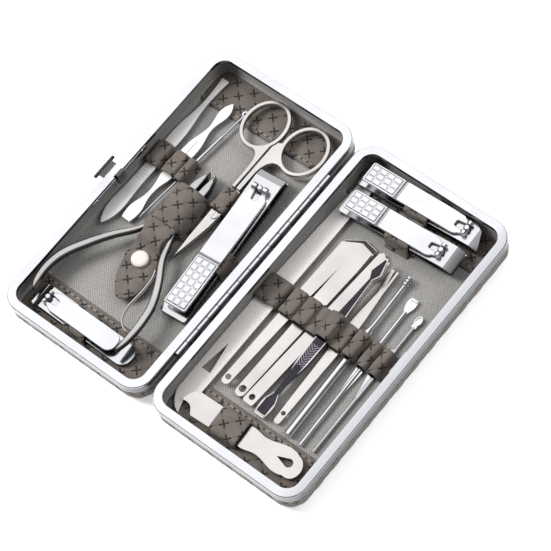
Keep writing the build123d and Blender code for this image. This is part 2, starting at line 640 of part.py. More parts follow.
def clipper_lever(clipper):
    """Lever folded down on the blades: an arm, two ears and, where it has a pad, cells and a cross groove."""
    sheet, half, height = clipper.lever, clipper.width * 0.43, clipper.pin_height
    start, end = clipper.lever_start, clipper.post_at - POST_RADIUS - 1.4
    low_tail, low_head = clipper.lever_low
    slope = (low_head - low_tail) / (end - start)
    groove = start + clipper.pad

    def under(along):
        return low_tail + slope * (along - start)

    def over(along):
        return under(along) + sheet

    profile = [(start, under(start)), (end, low_head), (end, low_head + sheet)]
    if clipper.pad:
        profile = profile + [(groove + 2.1, over(groove + 2.1)), (groove + 1.6, over(groove + 1.6) - 0.4),
                             (groove + 0.5, over(groove + 0.5) - 0.4), (groove, over(groove))]
    profile = profile + [(start, over(start))]
    arm = side_plate(profile, half) & extrude(plan_outline(start, end, 2 * half, clipper.tail_corner * 0.85), 30)
    columns = round(clipper.pad / CELL_PITCH)
    for i in range(columns):
        cell, row = (clipper.pad - 3.0) / columns, (2 * half - 2.2) / 3
        along = start + 2.0 + cell * (i + 0.5)
        for j in (-1, 0, 1):
            lump = Rot(degrees(atan2(slope, 1)), 0, 0) * Box(row - 0.7, cell - 0.7, 0.6)
            arm = arm + Pos(j * row, along, over(along)) * lump
    ear_in, ear_out = POST_RADIUS + 0.4, clipper.width * 0.28
    for side in (-1, 1):
        middle = (ear_in + ear_out) / 2 * side
        ear = Pos(middle, clipper.post_at, height) * Rot(0, 90, 0) * Cylinder(clipper.ear_radius, ear_out - ear_in)
        web = box((middle - (ear_out - ear_in) / 2, end - 1.0, low_head),
                  (middle + (ear_out - ear_in) / 2, clipper.post_at, low_head + sheet))
        arm = arm + ear + web
    pivot = Pos(0, clipper.post_at, height) * Rot(0, 90, 0)
    return clipper.lay(arm - pivot * Cylinder(CROSS_PIN_RADIUS + CROSS_PIN_CLEARANCE, clipper.width))


def clipper_loop(clipper, start, end):
    """Leather loop round the two blades, beneath the lever."""
    half = clipper.width / 2
    return clipper.lay(loop_band([(-half, half, clipper.blade_top(end))], start, end, FLOOR - clipper.level))


CELL_PITCH = 3.9
CLIPPER_A = Clipper((8.7, 67.6), (75.0, 70.2), -10.25, 12.2, 1.3, 5.6, 1.0, (6.9, 5.95), 2.6, 17.5, 9.3)
CLIPPER_B = Clipper((10.2, 51.8), (72.2, 55.0), -10.25, 12.2, 1.3, 5.6, 1.0, (6.9, 5.95), 2.6, 17.5, 9.3)
CLIPPER_L = Clipper((-18.6, -38.6), (-25.0, 43.4), -12.5, 14.0, 1.6, 6.6, 1.2, (6.9, 6.95), 3.0, 27.0, 10.8)
CLIPPER_S = Clipper((-19.8, -65.4), (-76.2, -64.8), -11.6, 11.4, 1.0, 4.2, 0.85, (6.0, 5.0), 8.1, 0, 6.2, 5.0)


# ---- scissors: drawn about their pivot, rings up (+Y), blades down --------------------------
SCISSOR_PIVOT = (-35.6, 11.6)
SCISSOR_LEVEL = -11.9
SCISSOR_SHEET = 1.5
SHANK_LIFT = 2.1
RING_HEIGHT = 2.8
SHANK_GAP = 0.35
SCREW_RADIUS = 1.6
SCREW_CLEARANCE = 0.05
LAP_CLEARANCE = 0.05
RISER = (16.0, 17.6)


def scissor_half(side):
    """side -1 is the lower half with the left ring, side +1 the upper half with the right one."""
    low = 0 if side < 0 else SCISSOR_SHEET + LAP_CLEARANCE
    near, far, wide = side * SHANK_GAP, side * (2.2 if side < 0 else 2.7), side * (2.2 if side < 0 else 3.2)
    centre = (-9.6, along(49.6)) if side < 0 else (14.4, along(48.7))
    blade = polygon((-3.0, 3.0), (-2.8, -6.0), (-2.7, -14.0), (-1.9, -26.3), (0.6, -14.0), (2.0, -6.0), (2.6, 3.0))
    shank = polygon((near, 1.0), (near, RISER[1]), (far, RISER[1]), (far, 1.0))
    arm = polygon((near, RISER[0]), (near, along(42.0)), (wide, along(42.0)), (wide, along(30.0)), (far, RISER[0]))
    web = plan((near, 31.0), (near, 46.0), (centre[0] * 0.5, 44.0), (centre[0] * 0.62, 39.5), (wide, 34.0))
    rim = Pos(*centre) * Ellipse(11.2, 13.6)
    opening = Pos(*centre) * Ellipse(9.35, 11.75)
    flat = slab(blade + shank, low, SCISSOR_SHEET)
    raised = slab(arm, SHANK_LIFT, RING_HEIGHT * 0.8) + slab(web + rim - opening, SHANK_LIFT, RING_HEIGHT)
    kept = box((near - 99 * (1 - side) / 2, 0, -1), (near + 99 * (1 + side) / 2, 99, 9))
    beyond = box((-99, 0, -1), (99, 99, 9)) - kept
    riser = box((min(near, far), RISER[0], low), (max(near, far), RISER[1], SHANK_LIFT + 1.0))
    body = flat + (raised - beyond) + riser
    return body - Cylinder(SCREW_RADIUS + SCREW_CLEARANCE, 20)


def scissor_screw():
    top = 2 * SCISSOR_SHEET + LAP_CLEARANCE
    head = Pos(0, 0, top + 0.3) * Cylinder(SCREW_RADIUS + 0.4, 0.5)
    shank = Pos(0, 0, top / 2 + 0.05) * Cylinder(SCREW_RADIUS, top + 0.1)
    return shank + head - Pos(0, 0, top + 0.5) * Box(0.4, 6, 0.4)


def scissor_place(shape):
    return Pos(SCISSOR_PIVOT[0], along(SCISSOR_PIVOT[1]), SCISSOR_LEVEL) * shape


# ---- nippers: drawn about the rivet, jaws up (+Y), handles down ------------------------------
NIPPER_PIVOT = (-49.1, along(7.4), -8.2)
NIPPER_LAYER = 2.6
NIPPER_BOSS = 5.4
NIPPER_CLEAR = 0.4
HANDLE_HEIGHT = 2.8
HANDLE_HALF = 1.05
JAW_HEIGHT = 5.0
NIPPER_RIVET = 2.0
RIVET_CLEARANCE = 0.05
LEFT_HANDLE = [(-2.0, -4.0), (-4.7, -11.0), (-9.1, -21.3), (-17.2, -31.6), (-23.7, -41.9), (-28.8, -52.2),
               (-30.3, -61.5), (-29.1, -69.6), (-27.4, -74.3)]
RIGHT_HANDLE = [(2.0, -4.0), (4.2, -11.0), (7.4, -19.8), (10.6, -28.4), (17.3, -38.9), (22.2, -49.2),
                (24.2, -59.5), (24.6, -69.6), (24.1, -75.8)]
NIPPER_TILT = -degrees(atan2(NIPPER_RISE, -along(LEFT_HANDLE[-1][1])))
NIPPER_SPRING_LINE = [(23.2, -66.2), (21.3, -65.8), (18.6, -64.8), (16.1, -62.6), (14.4, -59.0), (13.7, -50.0),
                      (13.5, -41.0), (12.8, -37.5), (11.4, -34.0)]


def nipper_half(side, line):
    """side -1: left handle, lower layer and right jaw; side +1: the other way about."""
    low = -NIPPER_LAYER if side < 0 else LAP_CLEARANCE
    jaw_side = -side
    jaw = polygon((jaw_side * 0.9, 5.0), (jaw_side * 1.15, 20.0), (jaw_side * 2.0, 20.0), (jaw_side * 4.6, 11.0),
                  (jaw_side * 4.4, 5.0))
    line = [(x, along(y)) for x, y in line]
    handle = ribbon(line, HANDLE_HALF)
    ring = Pos(0, 0, 0) * Cylinder(NIPPER_BOSS + NIPPER_CLEAR, 40)
    root = polygon((-side * 4.4, 0), (side * 4.4, 0), (line[1][0] + 1.4, line[1][1]), (line[1][0] - 1.4, line[1][1]))
    boss = Circle(NIPPER_BOSS)
    layer_plan = boss + (jaw & Circle(9.0)) + (handle & Circle(9.0)) + (root & Circle(9.0))
    lap = slab(layer_plan, low, NIPPER_LAYER - LAP_CLEARANCE)
    full = slab(handle + root, -HANDLE_HEIGHT / 2, HANDLE_HEIGHT) + slab(jaw, -JAW_HEIGHT / 2, JAW_HEIGHT)
    return lap + (full - ring) - Cylinder(NIPPER_RIVET + RIVET_CLEARANCE, 20)


def nipper_rivet():
    head = Pos(0, 0, NIPPER_LAYER + 0.3) * Cylinder(NIPPER_RIVET + 0.6, 0.6)
    return Cylinder(NIPPER_RIVET, 2 * NIPPER_LAYER) + head


def nipper_spring():
    line = [(x, along(y)) for x, y in NIPPER_SPRING_LINE]
    return slab(ribbon(line, 0.35), -1.1, 2.2)


def nipper_place(shape):
    return Pos(*NIPPER_PIVOT) * Rot(NIPPER_TILT, 0, 0) * shape


# ---- leather over the nippers -----------------------------------------------------------------
HOLDER_SPAN = (-58.6, -42.3)
HOLDER_START = along(-6.0)
HOLDER_END = along(15.2)
HOLDER_UNDER = -4.75
HOLDER_TOP = HOLDER_UNDER + STRAP_THICKNESS
FLAP_FLAT_TO = along(-15.2)
FLAP_DOWN_AT = along(-20.6)
FLAP_LOW = -9.4
SNAP_AT = (-48.4, along(-25.6))
SNAP_RADIUS = 4.3


def nipper_holder():
    low, high = HOLDER_SPAN
    return loop_band([(low, high, HOLDER_UNDER - LOOP_CLEARANCE)], HOLDER_START, HOLDER_END, FLOOR)


def nipper_flap():
    """Tail of the holder that dips between the handles and snaps to the tray."""
    under = [(HOLDER_START - 0.2, HOLDER_UNDER), (FLAP_FLAT_TO, HOLDER_UNDER),
             (FLAP_DOWN_AT, FLAP_LOW), (along(-47.0), FLAP_LOW)]
    over = [(along, height + STRAP_THICKNESS) for along, height in reversed(under)]
    side = make_face(Plane.YZ * Polyline(*(under + over), close=True))
    sheet = Pos(-70, 0, 0) * extrude(side, 40, dir=(1, 0, 0))
    outline = plan((-58.4, -6.0), (-58.0, -10.0), (-56.7, -13.5), (-56.7, -15.5), (-57.2, -20.0), (-57.0, -25.0),
                   (-55.5, -31.0), (-52.8, -38.0), (-48.5, -44.0), (-45.8, -46.2), (-43.2, -46.2), (-39.8, -42.0),
                   (-38.0, -38.0), (-37.4, -31.0), (-39.0, -25.0), (-41.8, -20.0), (-43.7, -15.5), (-43.4, -13.0),
                   (-42.5, -10.0), (-42.5, -6.0))
    return sheet & Pos(0, 0, -20) * extrude(outline, 30)


def snap_cap():
    button = Pos(SNAP_AT[0], SNAP_AT[1], FLAP_LOW + STRAP_THICKNESS + 1.15) * Cylinder(SNAP_RADIUS, 2.3)
    return fillet(button.edges().group_by(Axis.Z)[-1], 1.1)


def snap_stud():
    height = FLAP_LOW - 0.05 - FLOOR
    return Pos(SNAP_AT[0], SNAP_AT[1], FLOOR + height / 2) * Cylinder(SNAP_RADIUS * 0.75, height)


# ---- write ----------------------------------------------------------------------------------
def write_case():
    window, notch = mirrored(tongue_window()), mirrored(rim_notch())
    write("right_rim_frame", rim_frame())
    holes = [mirrored(hole) for hole in rivet_holes()]
    write("left_rim_frame", cut_all(mirrored(rim_frame()), [window, notch] + holes))
    write("right_leather_cover", leather_cover())
    write("left_leather_cover", mirrored(leather_cover()))
    write("right_pan", pan())
    write("left_pan", mirrored(pan()) - window)
    write("right_lining", lining())
    write("left_lining", mirrored(lining()) - window)
    write("right_quilted_bands", quilted_bands())
    write("left_quilted_bands", mirrored(quilted_bands()))
    write("right_hinge_leaf", hinge_leaf(0))
    write("left_hinge_leaf", mirrored(hinge_leaf(1)))
    write("hinge_pin", hinge_pin())
    write("latch_slider", mirrored(latch_slider()))
    write("latch_pin", mirrored(latch_pin()))
    write("latch_spring", mirrored(latch_spring()))
    write("latch_rivets", mirrored(spring_rivets()))
    write("latch_keeper", keeper())


def write_leather():
    bands = quilted_bands()
    room = cavity() - bands
    tops = FLAT_SHEET + LOW_LEVEL
    pushed = PUSHER_LEVEL + PUSHER_SHEET
    right = [(5.5, 16.2, FILE_LEVEL + FLAT_SHEET), (19.8, 26.3, OVER_LEVEL + FLAT_SHEET), (27.4, 34.2, OVER_LEVEL + FLAT_SHEET),
             (35.25, 41.9, tops), (41.4, 47.7, -6.6), (48.55, 54.1, tops), (56.1, 60.8, FLOOR + 4.1),
             (64.0, 67.9, FLOOR + 2.2), (70.0, 74.4, -11.1)]
    left = [(-80.6, -74.2, pushed + 0.2), (-70.9, -64.3, pushed), (-63.2, -59.8, PUSHER_LEVEL + 2.0)]
    plate_loop = loop_band([(-5.9, 5.9, PLATE_SHEET)], 0, 15, FLOOR - PLATE_LEVEL)
    plate_loop = laid(plate_loop, (30.0, -65.2), PLATE_AT, PLATE_LEVEL)
    rights = [loop_band(right, along(-9.0), along(5.0), FLOOR), plate_loop,
              clipper_loop(CLIPPER_A, 26.5, 39.5), clipper_loop(CLIPPER_B, 26.0, 39.0)]
    write("right_leather_loops", Compound([largest(loop & room) for loop in rights]))
    scissor_span = (-39.35, -32.9, SCISSOR_LEVEL + 2 * SCISSOR_SHEET + LAP_CLEARANCE)
    lefts = [loop_band(left, along(15.5), along(28.5), FLOOR),
             loop_band([scissor_span], along(14.0), along(26.5), FLOOR),
             clipper_loop(CLIPPER_L, 26.7, 38.7), clipper_loop(CLIPPER_S, 23.2, 36.0)]
    write("left_leather_loops", Compound([largest(loop & mirrored(room)) for loop in lefts]))
    write("nipper_holder", nipper_holder())
    write("nipper_flap", nipper_flap())
    write("snap_cap", snap_cap())
    write("snap_stud", snap_stud())


def write_tools():
    write("notched_file", notched_file())
    write("knife_1", knife_1())
    write("knife_2", knife_2())
    write("knife_3", knife_3())
    write("opener_plate", opener_plate())
    write("fork_trimmer", fork_trimmer())
    write("spiral_ear_pick", spiral_pick())
    write("spatula_ear_pick", spatula_pick())
    write("disc_ear_pick", disc_pick())
    write("tweezers_lower_arm", tweezer_lower())
    write("tweezers_upper_arm", tweezer_upper())
    write("leaf_pusher", leaf_pusher())
    write("lance_pusher", lance_pusher())
    write("needle_tool", needle_tool())
    write("scissors_left_half", scissor_place(scissor_half(-1)))
    write("scissors_right_half", scissor_place(scissor_half(1)))
    write("scissors_screw", scissor_place(scissor_screw()))
    write("nipper_left_half", nipper_place(nipper_half(-1, LEFT_HANDLE)))
    write("nipper_right_half", nipper_place(nipper_half(1, RIGHT_HANDLE)))
    write("nipper_rivet", nipper_place(nipper_rivet()))
    write("nipper_spring", nipper_place(nipper_spring()))


def write_clippers():
    clippers = {"corner_clipper": CLIPPER_A, "straight_clipper": CLIPPER_B,
                "large_clipper": CLIPPER_L, "small_clipper": CLIPPER_S}
    for name, clipper in clippers.items():
        lower, upper = clipper_lower(clipper), clipper_upper(clipper)
        if clipper is CLIPPER_A:
            lower, upper = slanted(clipper, lower), slanted(clipper, upper)
        write(f"{name}_lower_blade", lower)
        write(f"{name}_upper_blade", upper)
        write(f"{name}_lever", clipper_lever(clipper))
    write("right_clipper_posts", Compound([clipper_post(CLIPPER_A), clipper_post(CLIPPER_B)]))
    write("left_clipper_posts", Compound([clipper_post(CLIPPER_L), clipper_post(CLIPPER_S)]))


write_case()
write_leather()
write_tools()
write_clippers()
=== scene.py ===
"""A manicure set in an open, quilted frame case: finishes, soft leather and fine detail."""
import json
import math

import bmesh
import bpy
from bpy.props import FloatProperty, FloatVectorProperty, PointerProperty
from mathutils import Matrix, Vector


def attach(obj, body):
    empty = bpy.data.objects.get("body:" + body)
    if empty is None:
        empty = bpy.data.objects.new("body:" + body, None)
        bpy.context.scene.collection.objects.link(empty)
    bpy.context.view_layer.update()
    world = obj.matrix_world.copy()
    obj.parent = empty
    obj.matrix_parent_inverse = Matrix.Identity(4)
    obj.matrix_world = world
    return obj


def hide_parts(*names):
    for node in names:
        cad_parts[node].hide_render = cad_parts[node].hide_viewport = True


bl_info = {
    "name": "Manicure Set Case",
    "version": (1, 0, 0),
    "blender": (4, 5, 0),
    "location": "View3D > Sidebar > Manicure",
    "description": "Builds the looks of an open manicure set case on its fixed frame",
    "category": "Object",
}

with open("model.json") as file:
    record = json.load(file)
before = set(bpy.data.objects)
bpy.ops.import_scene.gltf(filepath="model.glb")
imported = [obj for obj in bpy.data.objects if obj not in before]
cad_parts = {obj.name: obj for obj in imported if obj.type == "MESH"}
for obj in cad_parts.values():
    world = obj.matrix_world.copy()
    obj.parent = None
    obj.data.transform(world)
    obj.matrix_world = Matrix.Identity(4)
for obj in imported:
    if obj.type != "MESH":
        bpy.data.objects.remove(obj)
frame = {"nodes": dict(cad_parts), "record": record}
NODES = frame["nodes"]
SLOTS = {part["node"]: part["material_slot"] for part in frame["record"]["subparts"]}

# Drawings are made in the hinge frame, in millimetres, and placed in the row frame.
CASE_LENGTH, TRAY_WIDTH, RIM_GAP, HALF_HEIGHT = 160.0, 84.65, 3.3, 16.5
HINGE_X = 3.125
TO_ROW = Matrix.Translation((HINGE_X / 1000, 0, HALF_HEIGHT / 1000)) @ Matrix.Scale(0.001, 4)
HALF_LENGTH, NEAR_EDGE = CASE_LENGTH / 2, RIM_GAP / 2
FAR_EDGE = NEAR_EDGE + TRAY_WIDTH
TRAY_MIDDLE = NEAR_EDGE + TRAY_WIDTH / 2
CORNER_RADIUS, CAVITY_INSET, CAVITY_RADIUS = 10.5, 2.5, 4.1
FLOOR = -13.0
STRAP_THICKNESS, LOOP_CLEARANCE = 0.9, 0.35
INNER_SHARE = 0.92  # the quilt's pitch inside the case, as a share of the outside's


def body_of(node):
    """The body that a node belongs to."""
    for body, members in frame["record"]["behaviour"]["bodies"].items():
        if node in members:
            return body
    raise ValueError(f"no body holds {node}")


# ---- materials
GROOVE_HALF = 0.7
# Shift of the stitches' painted highlight, towards the light.
THREAD_HIGHLIGHT_SHIFT = (-0.00035, 0.0002, 0)
BAND_HEMS, HEM_STITCH = (-56.1, 58.6), 3.4
TWEEZER_MIDDLE, TWEEZER_GRIP = 44.3, (-24.5, -12.5)
WAVE_TURNS = {"X": 20, "DIAGONAL": 10 * math.sqrt(2)}  # radians per millimetre in a wave of scale 1


def srgb(red, green, blue):
    """Linear colour from 0-255 display values."""
    channels = [c / 255 for c in (red, green, blue)]
    return tuple(c / 12.92 if c < 0.04045 else ((c + 0.055) / 1.055) ** 2.4 for c in channels) + (1.0,)


def shaded(color, share):
    """A share of a colour, white at most."""
    return tuple(min(c * share, 1) for c in color[:3]) + (1.0,)


class Finish:
    """A material under construction: one shader and the nodes that feed it."""

    def __init__(self, name, color, metallic=0.0, roughness=0.5, **sockets):
        self.material = bpy.data.materials.new(name)
        self.material.use_nodes = True
        self.tree = self.material.node_tree
        self.shader = self.tree.nodes["Principled BSDF"]
        sockets.update(Base_Color=color, Metallic=metallic, Roughness=roughness)
        for socket, value in sockets.items():
            self.shader.inputs[socket.replace("_", " ")].default_value = value
        self.color = color
        self.height = None

    def node(self, kind, inputs=(), **settings):
        """Add a node; each of its inputs is given as a value or as another node's output."""
        node = self.tree.nodes.new(kind)
        for key, value in settings.items():
            setattr(node, key, value)
        for socket, value in dict(inputs).items():
            if isinstance(value, bpy.types.NodeSocket):
                self.tree.links.new(value, node.inputs[socket])
            else:
                node.inputs[socket].default_value = value
        return node

    def feed(self, source, socket):
        self.tree.links.new(source, self.shader.inputs[socket])

    def place(self, scale=(1, 1, 1), turn=0.0, uv=False, shift=(0, 0, 0)):
        """Coordinates on the piece in millimetres, stretched by scale and turned about Z."""
        coordinates = self.node("ShaderNodeTexCoord").outputs["UV" if uv else "Object"]
        mapping = self.node("ShaderNodeMapping", {"Vector": coordinates, "Rotation": (0, 0, turn)})
        mapping.inputs["Location"].default_value = [1000 * s for s in shift]
        mapping.inputs["Scale"].default_value = [1000 * s for s in scale]
        return mapping.outputs["Vector"]

    def split(self, vector):
        return self.node("ShaderNodeSeparateXYZ", {"Vector": vector}).outputs

    def noise(self, place, scale, detail=3.0, rough=0.55):
        inputs = {"Vector": place, "Scale": scale, "Detail": detail, "Roughness": rough}
        return self.node("ShaderNodeTexNoise", inputs).outputs["Fac"]

    def cells(self, place, scale):
        return self.node("ShaderNodeTexVoronoi", {"Vector": place, "Scale": scale}).outputs["Distance"]

    def wave(self, place, pitch, direction="X"):
        """Bands that repeat each pitch, in millimetres."""
        inputs = {"Vector": place, "Scale": 2 * math.pi / pitch / WAVE_TURNS[direction]}
        node = self.node("ShaderNodeTexWave", inputs, wave_type="BANDS", bands_direction=direction)
        return node.outputs["Fac"]

    def math(self, operation, *values):
        return self.node("ShaderNodeMath", enumerate(values), operation=operation).outputs[0]

    def both(self, first, second):
        """Where both masks are 1, or a mask by a strength."""
        return self.math("MULTIPLY", first, second)

    def outside(self, mask):
        """Where a mask is 0."""
        return self.math("SUBTRACT", 1.0, mask)

    def fade(self, value, start, stop):
        """0 up to start and 1 from stop, smooth between them."""
        inputs = {"Value": value, "From Min": start, "From Max": stop}
        return self.node("ShaderNodeMapRange", inputs, interpolation_type="SMOOTHSTEP").outputs["Result"]

    def tint(self, factor, darker, lighter, low=0.3, high=0.7):
        """Vary the base colour between two shares of itself."""
        node = self.node("ShaderNodeValToRGB", {"Fac": factor})
        for element, position, share in zip(node.color_ramp.elements, (low, high), (darker, lighter)):
            element.position = position
            element.color = shaded(self.color, share)
        self.feed(node.outputs["Color"], "Base Color")

    def cover(self, mask, share, strength=1.0):
        """Where mask is 1, blend the base colour into a share of the plain colour."""
        if strength < 1:
            mask = self.both(mask, strength)
        base = self.shader.inputs["Base Color"].links[0].from_socket
        mix = self.node("ShaderNodeMix", {0: mask, 6: base, 7: shaded(self.color, share)}, data_type="RGBA")
        self.feed(mix.outputs[2], "Base Color")

    def shade_sides(self, share, level):
        """Paint shade on what faces sideways or down: upright faces, and round ones below level."""
        up = self.split(self.node("ShaderNodeTexCoord").outputs["Normal"])["Z"]
        self.cover(self.fade(up, level + 0.2, level - 0.2), share)

    def vary_roughness(self, factor, low, high):
        node = self.node("ShaderNodeMapRange", {"Value": factor, "To Min": low, "To Max": high})
        self.feed(node.outputs["Result"], "Roughness")

    def bump(self, height, depth_mm, strength):
        """Raise the surface by height (0-1) times depth_mm; calls stack."""
        inputs = {"Height": height, "Distance": depth_mm / 1000, "Strength": strength}
        if self.height:
            inputs["Normal"] = self.height
        self.height = self.node("ShaderNodeBump", inputs).outputs["Normal"]
        self.feed(self.height, "Normal")


def stitch_lines(finish, pitch, half_dash, half_thread, shift=(0, 0, 0)):
    """Masks of a diagonal quilt: 1 on the stitches, and 0 along the seams' soft grooves."""
    place = finish.split(finish.place(turn=math.radians(45), uv=True, shift=shift))
    away = [finish.math("PINGPONG", place[axis], pitch / 2) for axis in "XY"]
    dashes = []
    for across, along in (away, away[::-1]):
        thread = finish.math("LESS_THAN", across, half_thread)
        dashes.append(finish.both(thread, finish.math("LESS_THAN", along, half_dash)))
    groove = finish.math("DIVIDE", finish.math("MINIMUM", *away), GROOVE_HALF)
    return finish.math("MAXIMUM", *dashes), finish.math("MINIMUM", groove, 1.0)


def hem_lines(finish, across):
    """Masks of a hem sewn along X at Y = across: light thread, and the dark gaps between."""
    place = finish.split(finish.place(uv=True))
    away = finish.math("ABSOLUTE", finish.math("SUBTRACT", place["Y"], across))
    beat = finish.math("PINGPONG", place["X"], HEM_STITCH / 2)
    dash = finish.math("LESS_THAN", beat, HEM_STITCH * 0.3)
    rest = finish.math("GREATER_THAN", beat, HEM_STITCH * 0.33)
    return (finish.both(finish.math("LESS_THAN", away, 0.26), dash),
            finish.both(finish.math("LESS_THAN", away, 0.5), rest))


def leather_finish(name, color, pitch=0, hems=()):
    """Grained artificial leather; with a pitch it is quilted, on the piece's own flat places."""
    finish = Finish(name, color, 0.0, 0.62, Specular_IOR_Level=0.35, Sheen_Weight=0.12, Sheen_Roughness=0.5)
    place = finish.place(uv=pitch > 0)
    clouds = finish.noise(place, 0.12, 4)
    finish.tint(clouds, 0.82, 1.15)
    finish.vary_roughness(clouds, 0.5, 0.72)
    if pitch:
        # Painted highlight: a lighter copy of the stitches, shifted a little towards the light.
        thread_highlight, _ = stitch_lines(finish, pitch, 0.27 * pitch, 0.34, THREAD_HIGHLIGHT_SHIFT)
        finish.cover(thread_highlight, 1.75, 0.55)
        stitches, groove = stitch_lines(finish, pitch, 0.3 * pitch, 0.42)
        finish.cover(stitches, 0.08, 0.94)
        finish.bump(groove, 0.2, 0.6)
        finish.bump(finish.outside(stitches), 0.3, 0.8)
        # Painted shade along the seams' grooves.
        finish.cover(finish.outside(groove), 0.35, 0.22)
    for hem in hems:
        thread, gap = hem_lines(finish, hem)
        finish.cover(gap, 0.3)
        finish.cover(thread, 2.1, 0.8)
    finish.bump(finish.cells(place, 1.9), 0.12, 0.6)
    finish.bump(finish.noise(place, 3.2, 4), 0.06, 0.5)


def steel_finish(name, color, low, high, streak, depth=0.01, sides=None, metallic=1.0):
    """Metal whose fine brushing runs along the axis where streak is small."""
    finish = Finish(name, color, metallic, (low + high) / 2)
    brushing = finish.noise(finish.place(streak), 1.0, 4, 0.7)
    finish.vary_roughness(brushing, low, high)
    finish.bump(brushing, depth, 0.5)
    finish.tint(finish.noise(finish.place(), 0.05, 2), 0.86, 1.02)
    # Painted shade: the sides are darker where they face sideways or down.
    if sides:
        finish.shade_sides(*sides)


def rim_finish(name, color):
    """Polished plating, with painted shade towards the far long side and on its upright sides."""
    finish = Finish(name, color, 1.0, 0.2)
    place = finish.place()
    finish.vary_roughness(finish.noise(place, 0.2, 3), 0.14, 0.24)
    finish.tint(finish.noise(place, 0.05, 2), 0.9, 1.02)
    # Painted shade: darker towards the far long side, then on the upright sides.
    finish.cover(finish.fade(finish.split(place)["X"], FAR_EDGE - 8, FAR_EDGE + 3), 0.66, 0.8)
    finish.shade_sides(0.2, 0.35)
    finish.bump(finish.noise(place, 0.6, 3), 0.003, 0.5)


def file_finish(name, color):
    """Satin steel with the crossed cuts of a file."""
    # Painted light: the tool steel's colour made brighter, against the shade near the tray's wall.
    finish = Finish(name, shaded(color, 1.3), 0.12, 0.4)
    crossed = finish.both(*[finish.wave(finish.place(turn=math.radians(turn)), 0.9) for turn in (28, -28)])
    finish.tint(crossed, 0.74, 1.0, 0.05, 0.35)
    finish.bump(crossed, 0.05, 0.5)


def tweezer_finish(name, color):
    """Polished face with a painted dark reflection, and a herringbone grip cut into its middle."""
    finish = Finish(name, color, 1.0, 0.2)
    place = finish.split(finish.place())
    side = finish.math("ABSOLUTE", finish.math("SUBTRACT", place["X"], TWEEZER_MIDDLE + HINGE_X))
    ridge = finish.math("PINGPONG", finish.math("SUBTRACT", place["Y"], side), 0.75)
    zone = finish.both(finish.math("GREATER_THAN", place["Y"], TWEEZER_GRIP[0]),
                       finish.math("LESS_THAN", place["Y"], TWEEZER_GRIP[1]))
    cut = finish.both(zone, finish.math("GREATER_THAN", ridge, 0.42))
    # Painted reflection: the polished face is coloured dark for the dark surroundings it mirrors; the grip
    # zone is lighter.
    finish.tint(finish.noise(finish.place(), 0.3, 2), 0.8, 1.1)
    finish.cover(zone, 5.0)
    finish.cover(cut, 0.7)
    finish.bump(finish.outside(cut), 0.15, 0.8)


def cloth_finish(name, color, pitch, depth):
    """Coated cloth pressed with a fine diagonal crosshatch."""
    finish = Finish(name, color, 0.0, 0.75, Sheen_Weight=0.2, Sheen_Roughness=0.6)
    threads = [finish.wave(finish.place((1, side, 1)), pitch, "DIAGONAL") for side in (1, -1)]
    weave = finish.math("MAXIMUM", *threads)
    speckle = finish.noise(finish.place(), 1.3, 3)
    blend = finish.math("MULTIPLY_ADD", weave, 0.55, finish.both(speckle, 0.45))
    finish.tint(blend, 0.56, 1.22, 0.3, 0.85)
    finish.bump(weave, depth, 0.9)
    finish.bump(speckle, 0.05, 0.6)


def color_setting(name, text, color):
    return FloatVectorProperty(name=name, description=text, default=color, subtype="COLOR", size=4, min=0,
                               max=1)


def size_setting(name, text, default, low, high):
    return FloatProperty(name=name, description=f"{text}, in millimetres", default=default, min=low, max=high)


def power_setting(name, text, default):
    return FloatProperty(name=name, description=f"{text}, in watts", default=default, min=0, unit="POWER")


class ManicureFinishes(bpy.types.PropertyGroup):
    leather: color_setting("Leather", "Colour of the artificial leather", srgb(98, 91, 85))
    lining: color_setting("Lining", "Colour of the tray lining", srgb(140, 138, 135))
    plating: color_setting("Rim plating", "Colour of the polished rims", srgb(229, 230, 233))
    steel: color_setting("Tool steel", "Colour of the satin tools", srgb(218, 215, 212))
    chrome: color_setting("Clipper chrome", "Colour of the clippers", srgb(232, 233, 236))
    dark: color_setting("Nipper steel", "Colour of the nippers", srgb(198, 196, 194))
    quilt_pitch: size_setting("Quilt pitch", "Distance between the quilt's seams", 8.0, 4, 20)


class ManicureLeather(bpy.types.PropertyGroup):
    cover_puff: size_setting("Cover puff", "How deep the cover's seams sink", 0.75, 0, 2)
    strap_puff: size_setting("Strap puff", "How deep the straps' seams sink", 0.5, 0, 1)


class ManicureStudio(bpy.types.PropertyGroup):
    key_power: power_setting("Key light", "Power of the large light", 18.0)
    fill_power: power_setting("Fill light", "Power of the fill light", 6.5)
    sky: FloatProperty(name="Sky", description="Strength of the soft light all round", default=1.0, min=0)
    floor: color_setting("Floor", "Colour of the floor", (0.95, 0.95, 0.95, 1))


